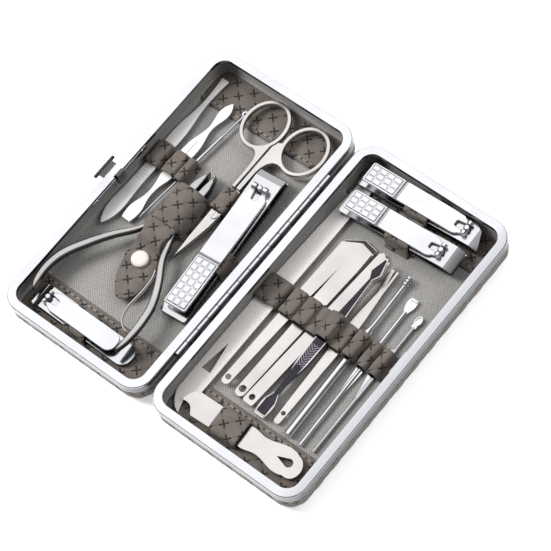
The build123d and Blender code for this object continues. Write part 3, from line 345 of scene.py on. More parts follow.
# Each steel has a colour or the name of a setting, its roughness from and to, the brushing's scale along the
# axes, its depth, how much painted shade its sides get and from which level, and how metallic it is.
BRUSHED = (2.2, 0.08, 2.2)
STEELS = {
    # Painted reflection: the chrome latch is coloured dark grey for the dark surroundings it mirrors.
    "latch plating": (srgb(104, 103, 103), 0.25, 0.4, (0.4, 0.4, 0.4), 0.004),
    "forged steel": ("dark", 0.2, 0.32, (0.5, 0.5, 0.5), 0.004, (0.12, 0.62)),
    # Painted shade and dark reflection: dark sheets on the broad knife's top end and in the levers' grooves.
    "ground bevel": (srgb(74, 70, 68), 0.2, 0.3, (1.5, 0.2, 1.5), 0.006),
    "clipper blades": (srgb(222, 223, 224), 0.1, 0.2, (0.3, 0.3, 0.3), 0.003, (0.3, 0.45)),
    "clipper chrome": ("chrome", 0.07, 0.16, (0.3, 0.3, 0.3), 0.003),
    "polished rods": ("chrome", 0.05, 0.12, (0.3, 0.3, 0.3), 0.002),
    "hinge steel": ("plating", 0.12, 0.2, (0.2, 0.2, 0.2), 0.002, (0.06, 0.72)),
    "satin steel": ("steel", 0.18, 0.3, BRUSHED, 0.004),
    "matte steel": (srgb(238, 237, 235), 0.4, 0.5, BRUSHED, 0.01, (0.4, 0.4), 0.4),
    "pan sheet": (srgb(120, 120, 122), 0.4, 0.6, (1, 1, 1)),
}
# A solid takes the finish of a word in its name, or else the finish of its material slot.
WORD_FINISHES = {"blade": "clipper blades", "hinge": "hinge steel", "pusher": "matte steel",
                 "file": "cut file", "ear_pick": "polished rods", "needle": "polished rods"}
SLOT_FINISHES = {"rim_metal": "polished rim", "latch_metal": "latch plating", "pan_steel": "pan sheet",
                 "case_leather": "plain leather", "strap_leather": "plain leather",
                 "lining_cloth": "woven lining", "satin_steel": "satin steel", "dark_chrome": "satin steel",
                 "clipper_chrome": "clipper chrome", "snap_pearl": "pearl cap"}
TOOL_SLOTS = ("satin_steel", "clipper_chrome", "dark_chrome")
ROD_WORDS = ("pick", "needle")
ROUND_WORDS = (*ROD_WORDS, "pin", "screw", "rivet", "spring", "hinge")


def has_word(node, words):
    return any(word in node for word in words)


class MANICURE_OT_finishes(bpy.types.Operator):
    """Make the finishes and give one to every solid of the frame"""
    bl_idname = "manicure.finishes"
    bl_label = "Finishes"

    def execute(self, context):
        look = context.scene.manicure_finishes
        leather, pitch = tuple(look.leather), look.quilt_pitch
        leather_finish("quilted leather", leather, pitch)
        leather_finish("plain leather", leather)
        leather_finish("inner leather", leather, pitch * INNER_SHARE)
        leather_finish("band leather", leather, pitch * INNER_SHARE, BAND_HEMS)
        cloth_finish("woven lining", tuple(look.lining), 1.02, 0.16)
        for name, (color, *settings) in STEELS.items():
            steel_finish(name, tuple(getattr(look, color)) if isinstance(color, str) else color, *settings)
        rim_finish("polished rim", tuple(look.plating))
        file_finish("cut file", tuple(look.steel))
        # Painted dark reflection, with the herringbone grip, for the tweezers' face.
        tweezer_finish("tweezer face", srgb(60, 57, 63))
        Finish("pearl cap", srgb(206, 198, 191), 0.1, 0.32, Coat_Weight=0.3)
        for node, slot in SLOTS.items():
            named = [finish for word, finish in WORD_FINISHES.items() if word in node]
            solid = NODES[node]
            solid.data.materials.clear()
            solid.data.materials.append(bpy.data.materials[named[0] if named else SLOT_FINISHES[slot]])
            tool = slot in TOOL_SLOTS
            width = 0 if has_word(node, ROD_WORDS) else 0.2 if tool else 0.15
            soften(solid, width, tool and not has_word(node, ROUND_WORDS))
        return {"FINISHED"}


def split_edges(solid, degrees):
    split = solid.modifiers.new("split", "EDGE_SPLIT")
    split.split_angle = math.radians(degrees)
    return split


def soften(solid, width_mm, crisp):
    """Round the sharp edges of a solid, without touching its mesh; crisp keeps flat sheets flat."""
    for polygon in solid.data.polygons:
        polygon.use_smooth = True
    solid.modifiers.new("weld", "WELD").merge_threshold = 2e-6
    if not width_mm:
        split_edges(solid, 40)
        return
    bevel = solid.modifiers.new("bevel", "BEVEL")
    bevel.width = width_mm / 1000
    bevel.segments = 2
    bevel.limit_method = "ANGLE"
    bevel.angle_limit = math.radians(38)
    bevel.use_clamp_overlap = True
    if crisp:
        split_edges(solid, 18).use_edge_sharp = False
    normals = solid.modifiers.new("normals", "WEIGHTED_NORMAL")
    normals.mode = "FACE_AREA"
    normals.weight = 100
    normals.keep_sharp = False


# ---- drawing helpers
def grid(columns, rows, place=Matrix()):
    """A flat grid, one unit wide and long about the origin, put in place."""
    bm = bmesh.new()
    bmesh.ops.create_grid(bm, x_segments=columns, y_segments=rows, size=0.5, matrix=place)
    return bm


def unroll(bm, flat_place):
    """Give the sheet a UV that holds the flat place of each vertex, in metres."""
    layer = bm.loops.layers.uv.new("unrolled")
    for face in bm.faces:
        for loop in face.loops:
            loop[layer].uv = flat_place(loop.vert)


def flat_leather(width, length, step, middle=(0.0, 0.0)):
    """A flat sheet of width by length millimetres; its UV keeps the flat places."""
    place = Matrix.Translation((*middle, 0)) @ Matrix.Diagonal((width, length, 1, 1))
    bm = grid(round(width / step), round(length / step), place)
    unroll(bm, lambda vert: vert.co.xy / 1000)
    return bm


def puff(u, v, pitch):
    """Height of a diagonal quilt: 1 in the middle of a diamond, less on a seam, 0 at a stitched crossing."""
    first = math.sin(math.pi * (u + v) / math.sqrt(2) / pitch)
    second = math.sin(math.pi * (u - v) / math.sqrt(2) / pitch)
    seam = abs(first * second) ** 0.4
    crossing = 1 - math.exp(-(first * first + second * second) / 0.35)
    return 0.5 * seam + 0.5 * crossing


def turn(degrees, axis):
    return Matrix.Rotation(math.radians(degrees), 4, axis)


def laid(foot, tip, level=0.0):
    """Turns what is drawn from its foot along +Y onto the line from foot to tip."""
    angle = math.atan2(tip[1] - foot[1], tip[0] - foot[0]) - math.pi / 2
    return Matrix.Translation((foot[0], foot[1], level)) @ Matrix.Rotation(angle, 4, "Z")


def cut_off(bm, at, normal):
    """Cut away what lies beyond a plane."""
    bmesh.ops.bisect_plane(bm, geom=bm.verts[:] + bm.edges[:] + bm.faces[:], dist=1e-4, plane_co=at,
                           plane_no=normal, clear_outer=True)


def join(*parts):
    """Gather several bmeshes into one."""
    whole = bmesh.new()
    for bm in parts:
        mesh = bpy.data.meshes.new("part")
        bm.to_mesh(mesh)
        bm.free()
        whole.from_mesh(mesh)
        bpy.data.meshes.remove(mesh)
    return whole


def add_object(bm, name, material):
    mesh = bpy.data.meshes.new(name)
    bm.to_mesh(mesh)
    bm.free()
    mesh.materials.append(bpy.data.materials[material])
    piece = bpy.data.objects.new(name, mesh)
    bpy.context.scene.collection.objects.link(piece)
    return piece


def add_piece(bm, name, node, material, place=Matrix(), mirrored=False, smooth=False, replaces=True):
    """Put a piece drawn in millimetres in the frame; it rides with a node's body, mostly in its stead."""
    if not bm.faces:
        raise ValueError(f"{name} has no faces")
    bmesh.ops.transform(bm, matrix=place, verts=bm.verts)
    if mirrored:
        bmesh.ops.scale(bm, vec=(-1, 1, 1), verts=bm.verts)
        bmesh.ops.reverse_faces(bm, faces=bm.faces)
    bmesh.ops.transform(bm, matrix=TO_ROW, verts=bm.verts)
    for face in bm.faces:
        face.smooth = smooth or face.smooth
    piece = add_object(bm, name, material)
    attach(piece, body_of(node))
    if replaces:
        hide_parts(node)
    return piece


def add_leather(bm, name, node, thickness_mm, material="inner leather", mirrored=False):
    """Put a leather sheet in the frame, drawn by its outer face, and pad it."""
    piece = add_piece(bm, name, node, material, mirrored=mirrored, smooth=True)
    solidify = piece.modifiers.new("thickness", "SOLIDIFY")
    solidify.thickness = thickness_mm / 1000
    solidify.offset = -1.0
    solidify.use_even_offset = False


# ---- metal drawing helpers
def flat_plate(outlines, thickness, edge, bottom=0.0):
    """A plate with rounded edges: the first outline is its rim and the others are holes."""
    curve = bpy.data.curves.new("plate", "CURVE")
    curve.dimensions = "2D"
    curve.fill_mode = "BOTH"
    curve.extrude = thickness / 2 - edge
    curve.bevel_depth = edge
    curve.bevel_resolution = 2
    curve.offset = -edge
    for outline in outlines:
        spline = curve.splines.new("POLY")
        spline.points.add(len(outline) - 1)
        for point, (x, y) in zip(spline.points, outline):
            point.co = (x, y, 0, 1)
        spline.use_cyclic_u = True
    holder = bpy.data.objects.new(curve.name, curve)
    mesh = bpy.data.meshes.new_from_object(holder)
    bm = bmesh.new()
    bm.from_mesh(mesh)
    bpy.data.objects.remove(holder)
    bpy.data.curves.remove(curve)
    bpy.data.meshes.remove(mesh)
    close_and_shade(bm, 0.999)
    bmesh.ops.transform(bm, matrix=Matrix.Translation((0, 0, bottom + thickness / 2)), verts=bm.verts)
    return bm


def close_and_shade(bm, flat):
    """Close the seams and shade smoothly, but for faces that look up or down."""
    bmesh.ops.remove_doubles(bm, verts=bm.verts, dist=1e-4)
    bmesh.ops.recalc_face_normals(bm, faces=bm.faces)
    for face in bm.faces:
        face.smooth = abs(face.normal.z) < flat


def turned(profile, steps):
    """Spin a (radius, height) profile about Z; its first and last points may lie on the axis."""
    bm = bmesh.new()
    verts = [bm.verts.new((radius, 0, height)) for radius, height in profile]
    edges = [bm.edges.new(pair) for pair in zip(verts, verts[1:])]
    bmesh.ops.spin(bm, geom=verts + edges, cent=(0, 0, 0), axis=(0, 0, 1), angle=2 * math.pi, steps=steps,
                   use_merge=True)
    close_and_shade(bm, 0.98)
    return bm


def rounded_block(size, at, edge):
    bm = bmesh.new()
    bmesh.ops.create_cube(bm, size=1, matrix=Matrix.Translation(at) @ Matrix.Diagonal((*size, 1)))
    bmesh.ops.bevel(bm, geom=bm.edges[:], offset=edge, segments=2, profile=0.5, affect="EDGES", material=-1)
    return bm


def arc(centre, radii, start, stop, steps=44):
    """Points along an ellipse with radii across and along, angles in degrees."""
    points = []
    for k in range(steps + 1):
        angle = math.radians(start + (stop - start) * k / steps)
        points.append((centre[0] + radii[0] * math.cos(angle), centre[1] + radii[1] * math.sin(angle)))
    return points


# ---- clippers
POST_RADIUS, CROSS_PIN_RADIUS, PIN_EDGE = 1.5, 0.6, 0.15
BLADE_SEAT, LEVER_CLEARANCE, HEAD_LENGTH = 0.25, 0.35, 9.0
CELL_PITCH, PAD_RISE, SLOT_REACH = 3.9, 0.28, 4.1


class Clipper:
    """Sizes of one nail clipper, and the line from its tail to its jaws that it lies on."""

    def __init__(self, tail, jaws, level, width, blade, head_height, lever, lever_low, lever_start, pad,
                 post_back, loop, tail_corner=1.2):
        self.tail_corner, self.loop = tail_corner, loop
        self.width, self.blade, self.head_height = width, blade, head_height
        self.lever, self.lever_low, self.lever_start = lever, lever_low, lever_start
        self.pad, self.level = pad, level
        self.half, self.fork = width * 0.43, width * 0.28
        self.length = math.hypot(jaws[0] - tail[0], jaws[1] - tail[1])
        self.post_at = self.length - post_back
        self.ear_radius = lever * 1.5
        self.pin_height = head_height + LEVER_CLEARANCE + self.ear_radius
        self.place = laid(tail, jaws, level)

    def blade_top(self, along):
        top = 2 * self.blade + BLADE_SEAT
        return top + (self.head_height - top) / (self.length - HEAD_LENGTH) * along


MIDDLE_CLIPPER = dict(level=-10.25, width=12.2, blade=1.3, head_height=5.6, lever=1.0, lever_low=(6.9, 5.95),
                      lever_start=2.6, pad=17.5, post_back=9.3)
CLIPPERS = {
    "corner": Clipper((8.7, 67.6), (75.0, 70.2), loop=(26.5, 39.5), **MIDDLE_CLIPPER),
    "straight": Clipper((10.2, 51.8), (72.2, 55.0), loop=(26.0, 39.0), **MIDDLE_CLIPPER),
    "large": Clipper((-18.6, -38.6), (-25.0, 43.4), level=-12.5, width=14.0, blade=1.6, head_height=6.6,
                     lever=1.2, lever_low=(6.9, 6.95), lever_start=3.0, pad=27.0, post_back=10.8,
                     loop=(26.7, 38.7)),
    "small": Clipper((-19.8, -65.4), (-76.2, -64.8), level=-11.6, width=11.4, blade=1.0, head_height=4.2,
                     lever=0.85, lever_low=(6.0, 5.0), lever_start=8.1, pad=0, post_back=6.2,
                     loop=(23.2, 36.0), tail_corner=4.2),
}
CLIPPER_SIDES = {"right": ("corner", "straight"), "left": ("large", "small")}


def lever_outline(clipper):
    """Lever seen from above: square tail, shoulders, and a fork with a slot that the post stands in."""
    half, fork, post, corner = clipper.half, clipper.fork, clipper.post_at, clipper.tail_corner
    tip, inner = post + clipper.ear_radius * 0.4, POST_RADIUS + 0.5
    back = post - inner - SLOT_REACH
    right = arc((half - corner, clipper.lever_start + corner), (corner, corner), -90, 0, 6)
    right += [(half, post - 5.2), (half - 0.5, post - 3.6), (fork + 0.55, post - 2.6), (fork, post - 1.0)]
    right += arc((fork - 0.6, tip - 0.6), (0.6, 0.6), 0, 90, 4)
    right += [(inner, tip), (inner, post - 1.5), (1.5, back + 0.5), (1.1, back)]
    return right + [(-x, y) for x, y in reversed(right)]


def lever_pad(clipper):
    """Panel pressed into rows of low cushions, closed by the cross groove's two ridges."""
    start, stop = clipper.lever_start + 0.9, clipper.lever_start + clipper.pad - 0.6
    wide, long = 2 * clipper.half - 1.6, stop - start
    columns = round(clipper.pad / CELL_PITCH)
    bm = grid(42, 14 * columns, Matrix.Diagonal((wide, long, 1, 1)))
    for vert in bm.verts:
        across, along = vert.co.x / wide + 0.5, vert.co.y / long + 0.5
        inside = min(abs(math.sin(3 * math.pi * across)), abs(math.sin(columns * math.pi * along)))
        rise = min(max((inside - 0.02) / 0.42, 0), 1)
        height = clipper.lever + 0.12 + PAD_RISE * rise * rise * (3 - 2 * rise)
        vert.co = (vert.co.x, vert.co.y + (start + stop) / 2, height)
    rim = [edge for edge in bm.edges if edge.is_boundary]
    skirt = bmesh.ops.extrude_edge_only(bm, edges=rim)["geom"]
    walls = [part for part in skirt if isinstance(part, bmesh.types.BMVert)]
    bmesh.ops.translate(bm, verts=walls, vec=(0, 0, -0.4))
    open_edges = [part for part in skirt if isinstance(part, bmesh.types.BMEdge) and part.is_boundary]
    bmesh.ops.holes_fill(bm, edges=open_edges, sides=0)
    bmesh.ops.recalc_face_normals(bm, faces=bm.faces)
    for face in bm.faces:
        face.smooth = True
    ridge = (2 * clipper.half - 0.3, 0.6, 0.55)
    return [bm] + [rounded_block(ridge, (0, stop + shift, clipper.lever + 0.05), 0.2) for shift in (0.6, 2.0)]


def make_lever(name, clipper):
    """Lever, with the groove across it, standing on the blade with its ears round the cross pin."""
    start, post, radius = clipper.lever_start, clipper.post_at, clipper.ear_radius
    low_tail, low_head = clipper.lever_low
    slope = (low_head - low_tail) / (post - POST_RADIUS - 1.4 - start)
    tilt = Matrix.Translation((0, 0, low_tail - slope * start)) @ Matrix.Rotation(math.atan(slope), 4, "X")
    plate = flat_plate([lever_outline(clipper)], clipper.lever, 0.25)
    arm = join(plate, *(lever_pad(clipper) if clipper.pad else []))
    bmesh.ops.transform(arm, matrix=tilt, verts=arm.verts)
    ears = []
    for side in (-1, 1):
        ear_in = POST_RADIUS + 0.4
        ear = turned([(0, ear_in), (radius, ear_in), (radius, clipper.fork), (0, clipper.fork)], 8)
        for face in ear.faces:
            face.smooth = False
        stand = Matrix.Translation((0, post, clipper.pin_height)) @ turn(90 * side, "Y")
        bmesh.ops.transform(ear, matrix=stand @ turn(22.5, "Z"), verts=ear.verts)
        ears.append(ear)
    node = f"{name}_clipper_lever"
    if clipper.pad:
        # Painted shade: a dark strip laid in the groove across the lever.
        at = (0, start + clipper.pad + 0.7, clipper.lever + 0.04)
        across = rounded_block((2 * clipper.half - 0.5, 0.5, 0.12), at, 0.04)
        add_piece(across, f"{name}_lever_groove", node, "ground bevel", clipper.place @ tilt, replaces=False)
    add_piece(join(arm, *ears), f"{name}_lever_arm", node, "clipper chrome", clipper.place)


def make_post(clipper):
    """Grooved post with a domed head and its cross pin."""
    radius, top = POST_RADIUS, clipper.pin_height + clipper.ear_radius * 0.8
    post = turned([(0, 0.05), (radius, 0.05), (radius, top - 2.2), (radius - 0.25, top - 2.0),
                   (radius - 0.25, top - 1.7), (radius, top - 1.5), (radius, top - 0.5),
                   (radius - 0.5, top - 0.1), (0, top)], 32)
    radius, reach = CROSS_PIN_RADIUS, clipper.width * 0.3
    pin = turned([(0, -reach), (radius - PIN_EDGE, -reach), (radius, -reach + PIN_EDGE),
                  (radius, reach - PIN_EDGE), (radius - PIN_EDGE, reach), (0, reach)], 20)
    across = Matrix.Translation((0, 0, clipper.pin_height)) @ turn(90, "Y")
    bmesh.ops.transform(pin, matrix=across, verts=pin.verts)
    whole = join(post, pin)
    stand = clipper.place @ Matrix.Translation((0, clipper.post_at, 0))
    bmesh.ops.transform(whole, matrix=stand, verts=whole.verts)
    return whole


class MANICURE_OT_clippers(bpy.types.Operator):
    """Make the clippers' levers and posts"""
    bl_idname = "manicure.clippers"
    bl_label = "Clipper levers"

    def execute(self, context):
        for name, clipper in CLIPPERS.items():
            make_lever(name, clipper)
        for side, names in CLIPPER_SIDES.items():
            posts = join(*[make_post(CLIPPERS[name]) for name in names])
            add_piece(posts, f"{side}_posts", f"{side}_clipper_posts", "clipper chrome")
        return {"FINISHED"}


# ---- scissors
SCISSOR_PLACE = Matrix.Translation((-35.6, 11.6, -11.9))
SCISSOR_SHEET, SCISSOR_LAP, RING_LOW, RING_HEIGHT = 1.5, 0.05, 2.1, 2.8
RING_REACH, RING_OPENING, RING_CLEAR = (11.2, 13.6), (9.35, 11.75), 0.35
RING_CENTRES = {-1: (-9.6, 49.6), 1: (14.4, 48.7)}
SCISSOR_BLADE = [(-3.0, 3.0), (-2.8, -6.0), (-2.7, -14.0), (-1.9, -26.3), (0.6, -14.0), (2.0, -6.0),
                 (2.6, 3.0)]
SCREW_HOLE, RISER = 1.65, (16.0, 17.6)


def ring_outline(side):
    """Shank, web and ring in one line: the left ring bulges past the middle, the right web clears it."""
    centre, low = RING_CENTRES[side], RISER[0]
    if side < 0:
        web = [(-5.2, 36.2), (-3.6, 34.6), (-2.7, 32.0), (-2.3, 28.0), (-2.2, low)]
        return [(-RING_CLEAR, low)] + arc(centre, RING_REACH, -34.3, 285) + web
    web = [(2.7, low), (2.8, 27.0), (3.2, 30.5), (4.4, 33.6), (6.2, 35.6), (8.4, 36.3)]
    room = arc(RING_CENTRES[-1], [reach + RING_CLEAR for reach in RING_REACH], -16, -30.5, 6)
    return web + arc(centre, RING_REACH, 250, 549.3) + [(2.4, 45.9)] + room + [(RING_CLEAR, low)]


def scissor_half(side):
    """side -1: lower half with the left ring; side +1: upper half with the right ring."""
    low = 0 if side < 0 else SCISSOR_SHEET + SCISSOR_LAP
    left, right = sorted((side * RING_CLEAR, side * (2.2 if side < 0 else 2.7)))
    start, stop = SCISSOR_BLADE[0][1], RISER[1]
    outline = SCISSOR_BLADE + [(right, start), (right, stop), (left, stop), (left, start)]
    hole = arc((0, 0), (SCREW_HOLE, SCREW_HOLE), 0, 348, 29)
    blade = flat_plate([outline, hole], SCISSOR_SHEET, 0.2, low)
    opening = arc(RING_CENTRES[side], RING_OPENING, 0, 352)
    ring = flat_plate([ring_outline(side), opening], RING_HEIGHT, 0.3, RING_LOW)
    top = RING_LOW + 1.0
    riser = rounded_block((right - left, RISER[1] - RISER[0], top - low),
                          ((left + right) / 2, sum(RISER) / 2, (top + low) / 2), 0.2)
    return join(blade, ring, riser)


class MANICURE_OT_scissors(bpy.types.Operator):
    """Forge both halves of the scissors"""
    bl_idname = "manicure.scissors"
    bl_label = "Scissors"

    def execute(self, context):
        for side, name in ((-1, "left"), (1, "right")):
            half = scissor_half(side)
            add_piece(half, f"scissors_{name}", f"scissors_{name}_half", "satin steel", SCISSOR_PLACE)
        return {"FINISHED"}


# ---- nippers
NIPPER_HANDLES = {
    "left": [(-2.0, -4.0), (-4.7, -11.0), (-9.1, -21.3), (-17.2, -31.6), (-23.7, -41.9), (-28.8, -52.2),
             (-30.3, -61.5), (-29.1, -69.6), (-27.4, -74.3)],
    "right": [(2.0, -4.0), (4.2, -11.0), (7.4, -19.8), (10.6, -28.4), (17.3, -38.9), (22.2, -49.2),
              (24.2, -59.5), (24.6, -69.6), (24.1, -75.8)],
}
HANDLE_HALVES = [1.1, 1.15, 1.25, 1.55, 1.75, 1.85, 1.8, 1.5, 0.6]
HANDLE_DEPTH, JAW_DEPTH, BOSS_RADIUS, BOSS_EDGE, BOSS_HEIGHT = 3.3, 4.8, 5.35, 0.35, 2.55
NIPPER_JAW = [(0.7, 4.0), (0.7, 12.0), (1.0, 17.0), (1.5, 20.0), (1.9, 20.0), (3.4, 16.8), (4.6, 12.5),
              (4.9, 9.0), (4.5, 4.0)]
NIPPER_PLACE = Matrix.Translation((-49.1, 7.4, -8.2)) @ turn(-4.5, "X")


def swept_outline(line, halves, steps=6):
    """Outline of a curved strip that follows a line of points, with its own half width at each."""
    middle = []
    for k in range(len(line) - 1):
        around = [Vector(line[min(max(k + shift, 0), len(line) - 1)]) for shift in (-1, 0, 1, 2)]
        for step in range(steps):
            t = step / steps
            point = (around[1] * 2 + (around[2] - around[0]) * t
                     + (around[0] * 2 - around[1] * 5 + around[2] * 4 - around[3]) * t * t
                     + (around[1] * 3 - around[0] - around[2] * 3 + around[3]) * t ** 3) / 2
            middle.append((point, halves[k] * (1 - t) + halves[k + 1] * t))
    middle.append((Vector(line[-1]), halves[-1]))
    left, right = [], []
    for k, (point, half) in enumerate(middle):
        way = (middle[min(k + 1, len(middle) - 1)][0] - middle[max(k - 1, 0)][0]).normalized()
        side = Vector((-way.y, way.x)) * half
        left.append(tuple(point + side))
        right.append(tuple(point - side))
    return left + right[::-1]


def nipper_half(name):
    """Each handle carries the jaw of the other side; the left half's boss lies under the right one's."""
    line = NIPPER_HANDLES[name]
    handle = flat_plate([swept_outline(line, HANDLE_HALVES)], HANDLE_DEPTH, 0.9, -HANDLE_DEPTH / 2)
    jaw_side = 1 if name == "left" else -1
    jaw = flat_plate([[(jaw_side * x, y) for x, y in NIPPER_JAW]], JAW_DEPTH, 0.7, -JAW_DEPTH / 2)
    low = -2.6 if name == "left" else 0.05
    high, edge, radius = low + BOSS_HEIGHT, BOSS_EDGE, BOSS_RADIUS
    boss = turned([(0, low), (radius - edge, low), (radius, low + edge), (radius, high - edge),
                   (radius - edge, high), (0, high)], 44)
    return join(handle, jaw, boss)


class MANICURE_OT_nippers(bpy.types.Operator):
    """Forge both halves of the nippers"""
    bl_idname = "manicure.nippers"
    bl_label = "Nippers"

    def execute(self, context):
        for name in NIPPER_HANDLES:
            half = nipper_half(name)
            add_piece(half, f"nipper_{name}", f"nipper_{name}_half", "forged steel", NIPPER_PLACE)
        return {"FINISHED"}


# ---- painted dark reflections on flat tools
TWEEZER_FOOT, TWEEZER_TIP, TWEEZER_LEVEL = (43.9, -53.0), (45.2, 38.5), -11.5
TWEEZER_SHEET, TWEEZER_GAP, TWEEZER_TILT, TWEEZER_SPREAD = 0.8, 0.2, 1.2, 1.75
TWEEZER_STATIONS = [(1.4, 2.3), (2.4, 2.45), (8.5, 2.45), (12, 1.05), (20, 1.5), (28, 1.95), (41, 2.45),
                    (50, 2.45), (60, 1.8), (72, 1.0), (79.5, 0.6), (83.0, 2.3), (90.6, 0.4)]
# Outline of the painted dark reflection on the broad knife's top end.
KNIFE_REFLECTION_OUTLINE = [(28.9, 39.9), (36.35, 38.1), (36.3, 40.3), (29.0, 41.7), (21.4, 36.8), (21.2, 35.7)]
KNIFE_TOP = -10.9
FACE_THICKNESS, FACE_EDGE, FACE_SINK = 0.16, 0.04, 0.06


class MANICURE_OT_faces(bpy.types.Operator):
    """Lay sheets of painted dark reflection on the tweezers' face, with its herringbone grip, and on the
    broad knife's ground bevel
    """
    bl_idname = "manicure.faces"
    bl_label = "Dark faces"

    def execute(self, context):
        right = [(half, along) for along, half in TWEEZER_STATIONS]
        outline = right + [(-half, along) for half, along in reversed(right)]
        face = flat_plate([outline], FACE_THICKNESS, FACE_EDGE, TWEEZER_SHEET - FACE_SINK)
        raised = Matrix.Translation((0, 0, TWEEZER_SHEET + TWEEZER_GAP)) @ turn(TWEEZER_SPREAD, "X")
        place = laid(TWEEZER_FOOT, TWEEZER_TIP, TWEEZER_LEVEL) @ turn(TWEEZER_TILT, "X") @ raised
        add_piece(face, "tweezers_face", "tweezers_upper_arm", "tweezer face", place, replaces=False)
        # Painted dark reflection on the broad knife's top end.
        bevel = flat_plate([KNIFE_REFLECTION_OUTLINE], FACE_THICKNESS, FACE_EDGE, KNIFE_TOP - FACE_SINK)
        add_piece(bevel, "knife_bevel", "knife_2", "ground bevel", replaces=False)
        return {"FINISHED"}


# ---- leather covers and bands
BOTTOM_RADIUS, COVER_INSET = 6.5, 0.1
RIM_SKIRT, LAYER_CLEARANCE = 5.0, 0.1
BAND_TOP, BAND_PUFF, BAND_INSET = -11.8, 0.5, CAVITY_INSET + 1.25
BAND_REACH, UPPER_BAND_REACH = 26.0, 23.5


def cover_point(u, v, depth, pitch):
    """Fold a place of the flat leather over the tray's bottom edge and up its wall."""
    core_x, core_y = TRAY_WIDTH / 2 - CORNER_RADIUS, HALF_LENGTH - CORNER_RADIUS
    near = Vector((min(max(u, -core_x), core_x), min(max(v, -core_y), core_y)))
    away = Vector((u, v)) - near
    run = away.length
    out = away / run if run else Vector((0, 0))
    flat = CORNER_RADIUS - COVER_INSET - BOTTOM_RADIUS
    bend = min(max((run - flat) / BOTTOM_RADIUS, 0), math.pi / 2)
    rise = max(run - flat - BOTTOM_RADIUS * math.pi / 2, 0)
    radius = min(run, flat) + BOTTOM_RADIUS * math.sin(bend)
    height = -HALF_HEIGHT + BOTTOM_RADIUS * (1 - math.cos(bend)) + rise
    normal = Vector((*(out * math.sin(bend)), -math.cos(bend)))
    point = Vector((*(near + out * radius), height)) + Vector((TRAY_MIDDLE, 0, 0))
    return point - normal * depth * (1 - puff(u, v, pitch))


class MANICURE_OT_covers(bpy.types.Operator):
    """Fold the quilted leather over both trays"""
    bl_idname = "manicure.covers"
    bl_label = "Quilted covers"

    def execute(self, context):
        depth = context.scene.manicure_leather.cover_puff
        pitch = context.scene.manicure_finishes.quilt_pitch
        spare = BOTTOM_RADIUS * (math.pi / 2 - 1) + HALF_HEIGHT
        for side in ("right", "left"):
            bm = flat_leather(TRAY_WIDTH + 2 * spare, CASE_LENGTH + 2 * spare, 0.9)
            for vert in bm.verts:
                vert.co = cover_point(vert.co.x, vert.co.y, depth, pitch)
            cut_off(bm, (0, 0, -RIM_SKIRT - LAYER_CLEARANCE), (0, 0, 1))
            bmesh.ops.reverse_faces(bm, faces=bm.faces)
            add_leather(bm, f"{side}_quilted_cover", f"{side}_leather_cover", 0.8, "quilted leather",
                        mirrored=side == "left")
        return {"FINISHED"}


def band_height(x, y, low, high, pitch):
    """Top of a quilted band: puffed diamonds inside, a stitched hem along the open edge."""
    open_edge = min(abs(y - low), abs(y - high))
    hem = min(open_edge / 1.6, 1.0)
    roll = 0.45 * math.exp(-open_edge / 0.35)
    return BAND_TOP - BAND_PUFF * (1 - puff(x, y, pitch)) * hem - roll


def round_off(bm, middle, radius, sign_x, sign_y, cuts=7):
    """Trim a sheet's corner along a quarter circle."""
    for k in range(cuts):
        angle = math.pi / 2 * (k + 0.5) / cuts
        normal = Vector((sign_x * math.cos(angle), sign_y * math.sin(angle), 0))
        cut_off(bm, Vector((*middle, 0)) + normal * radius, normal)


def quilted_band(low, high, pitch):
    """One band from low to high along the case, rounded in the tray's corners."""
    near, far, corner = NEAR_EDGE + BAND_INSET, FAR_EDGE - BAND_INSET, CORNER_RADIUS - BAND_INSET
    bm = flat_leather(far - near, high - low, 0.75, ((near + far) / 2, (low + high) / 2))
    outward = -1 if high < 0 else 1
    corner_y = (low if high < 0 else high) - outward * corner
    round_off(bm, (near + corner, corner_y), corner, -1, outward)
    round_off(bm, (far - corner, corner_y), corner, 1, outward)
    for vert in bm.verts:
        vert.co.z = band_height(vert.co.x, vert.co.y, low, high, pitch)
    return bm


class MANICURE_OT_bands(bpy.types.Operator):
    """Lay the quilted bands across the ends of the tray floors"""
    bl_idname = "manicure.bands"
    bl_label = "Quilted bands"

    def execute(self, context):
        pitch, end = context.scene.manicure_finishes.quilt_pitch, HALF_LENGTH - BAND_INSET
        for side in ("right", "left"):
            both = join(quilted_band(-end, -HALF_LENGTH + BAND_REACH, pitch),
                        quilted_band(HALF_LENGTH - UPPER_BAND_REACH, end, pitch))
            add_leather(both, f"{side}_bands", f"{side}_quilted_bands", 0.6, "band leather",
                        mirrored=side == "left")
        return {"FINISHED"}


# ---- leather straps and loops
# A strap crosses tools: each has its low side, high side and top. Then come where the strap starts and ends
# along the case, the shift of its quilt and the crown of its lobes.
CROWN, LOBE_CROWN, VALLEY_DEPTH = 0.6, 1.5, 1.2
STRAP_STEP, STRAP_SKIN, STRAP_FOOT = 0.42, STRAP_THICKNESS * 0.85, 1.2
RIGHT_TOOLS = [(5.5, 16.2, -10.6), (19.8, 26.3, -9.6), (27.4, 34.2, -9.6), (35.25, 41.9, -10.9),
               (41.4, 47.7, -6.6), (48.55, 54.1, -10.9), (56.1, 60.8, -8.9), (64.0, 67.9, -10.8),
               (70.0, 74.4, -11.1)]
LEFT_TOOLS = [(-80.6, -74.2, -9.95), (-70.9, -64.3, -10.15), (-63.2, -59.8, -9.65)]
SCISSOR_SHANKS = [(-39.35, -32.9, -8.85)]
CROSS_STRAPS = {
    "right": [(RIGHT_TOOLS, -9.0, 5.0, 3.0, LOBE_CROWN)],
    "left": [(LEFT_TOOLS, 15.5, 28.5, 1.0, LOBE_CROWN), (SCISSOR_SHANKS, 14.0, 26.5, 0.5, 1.0)],
}
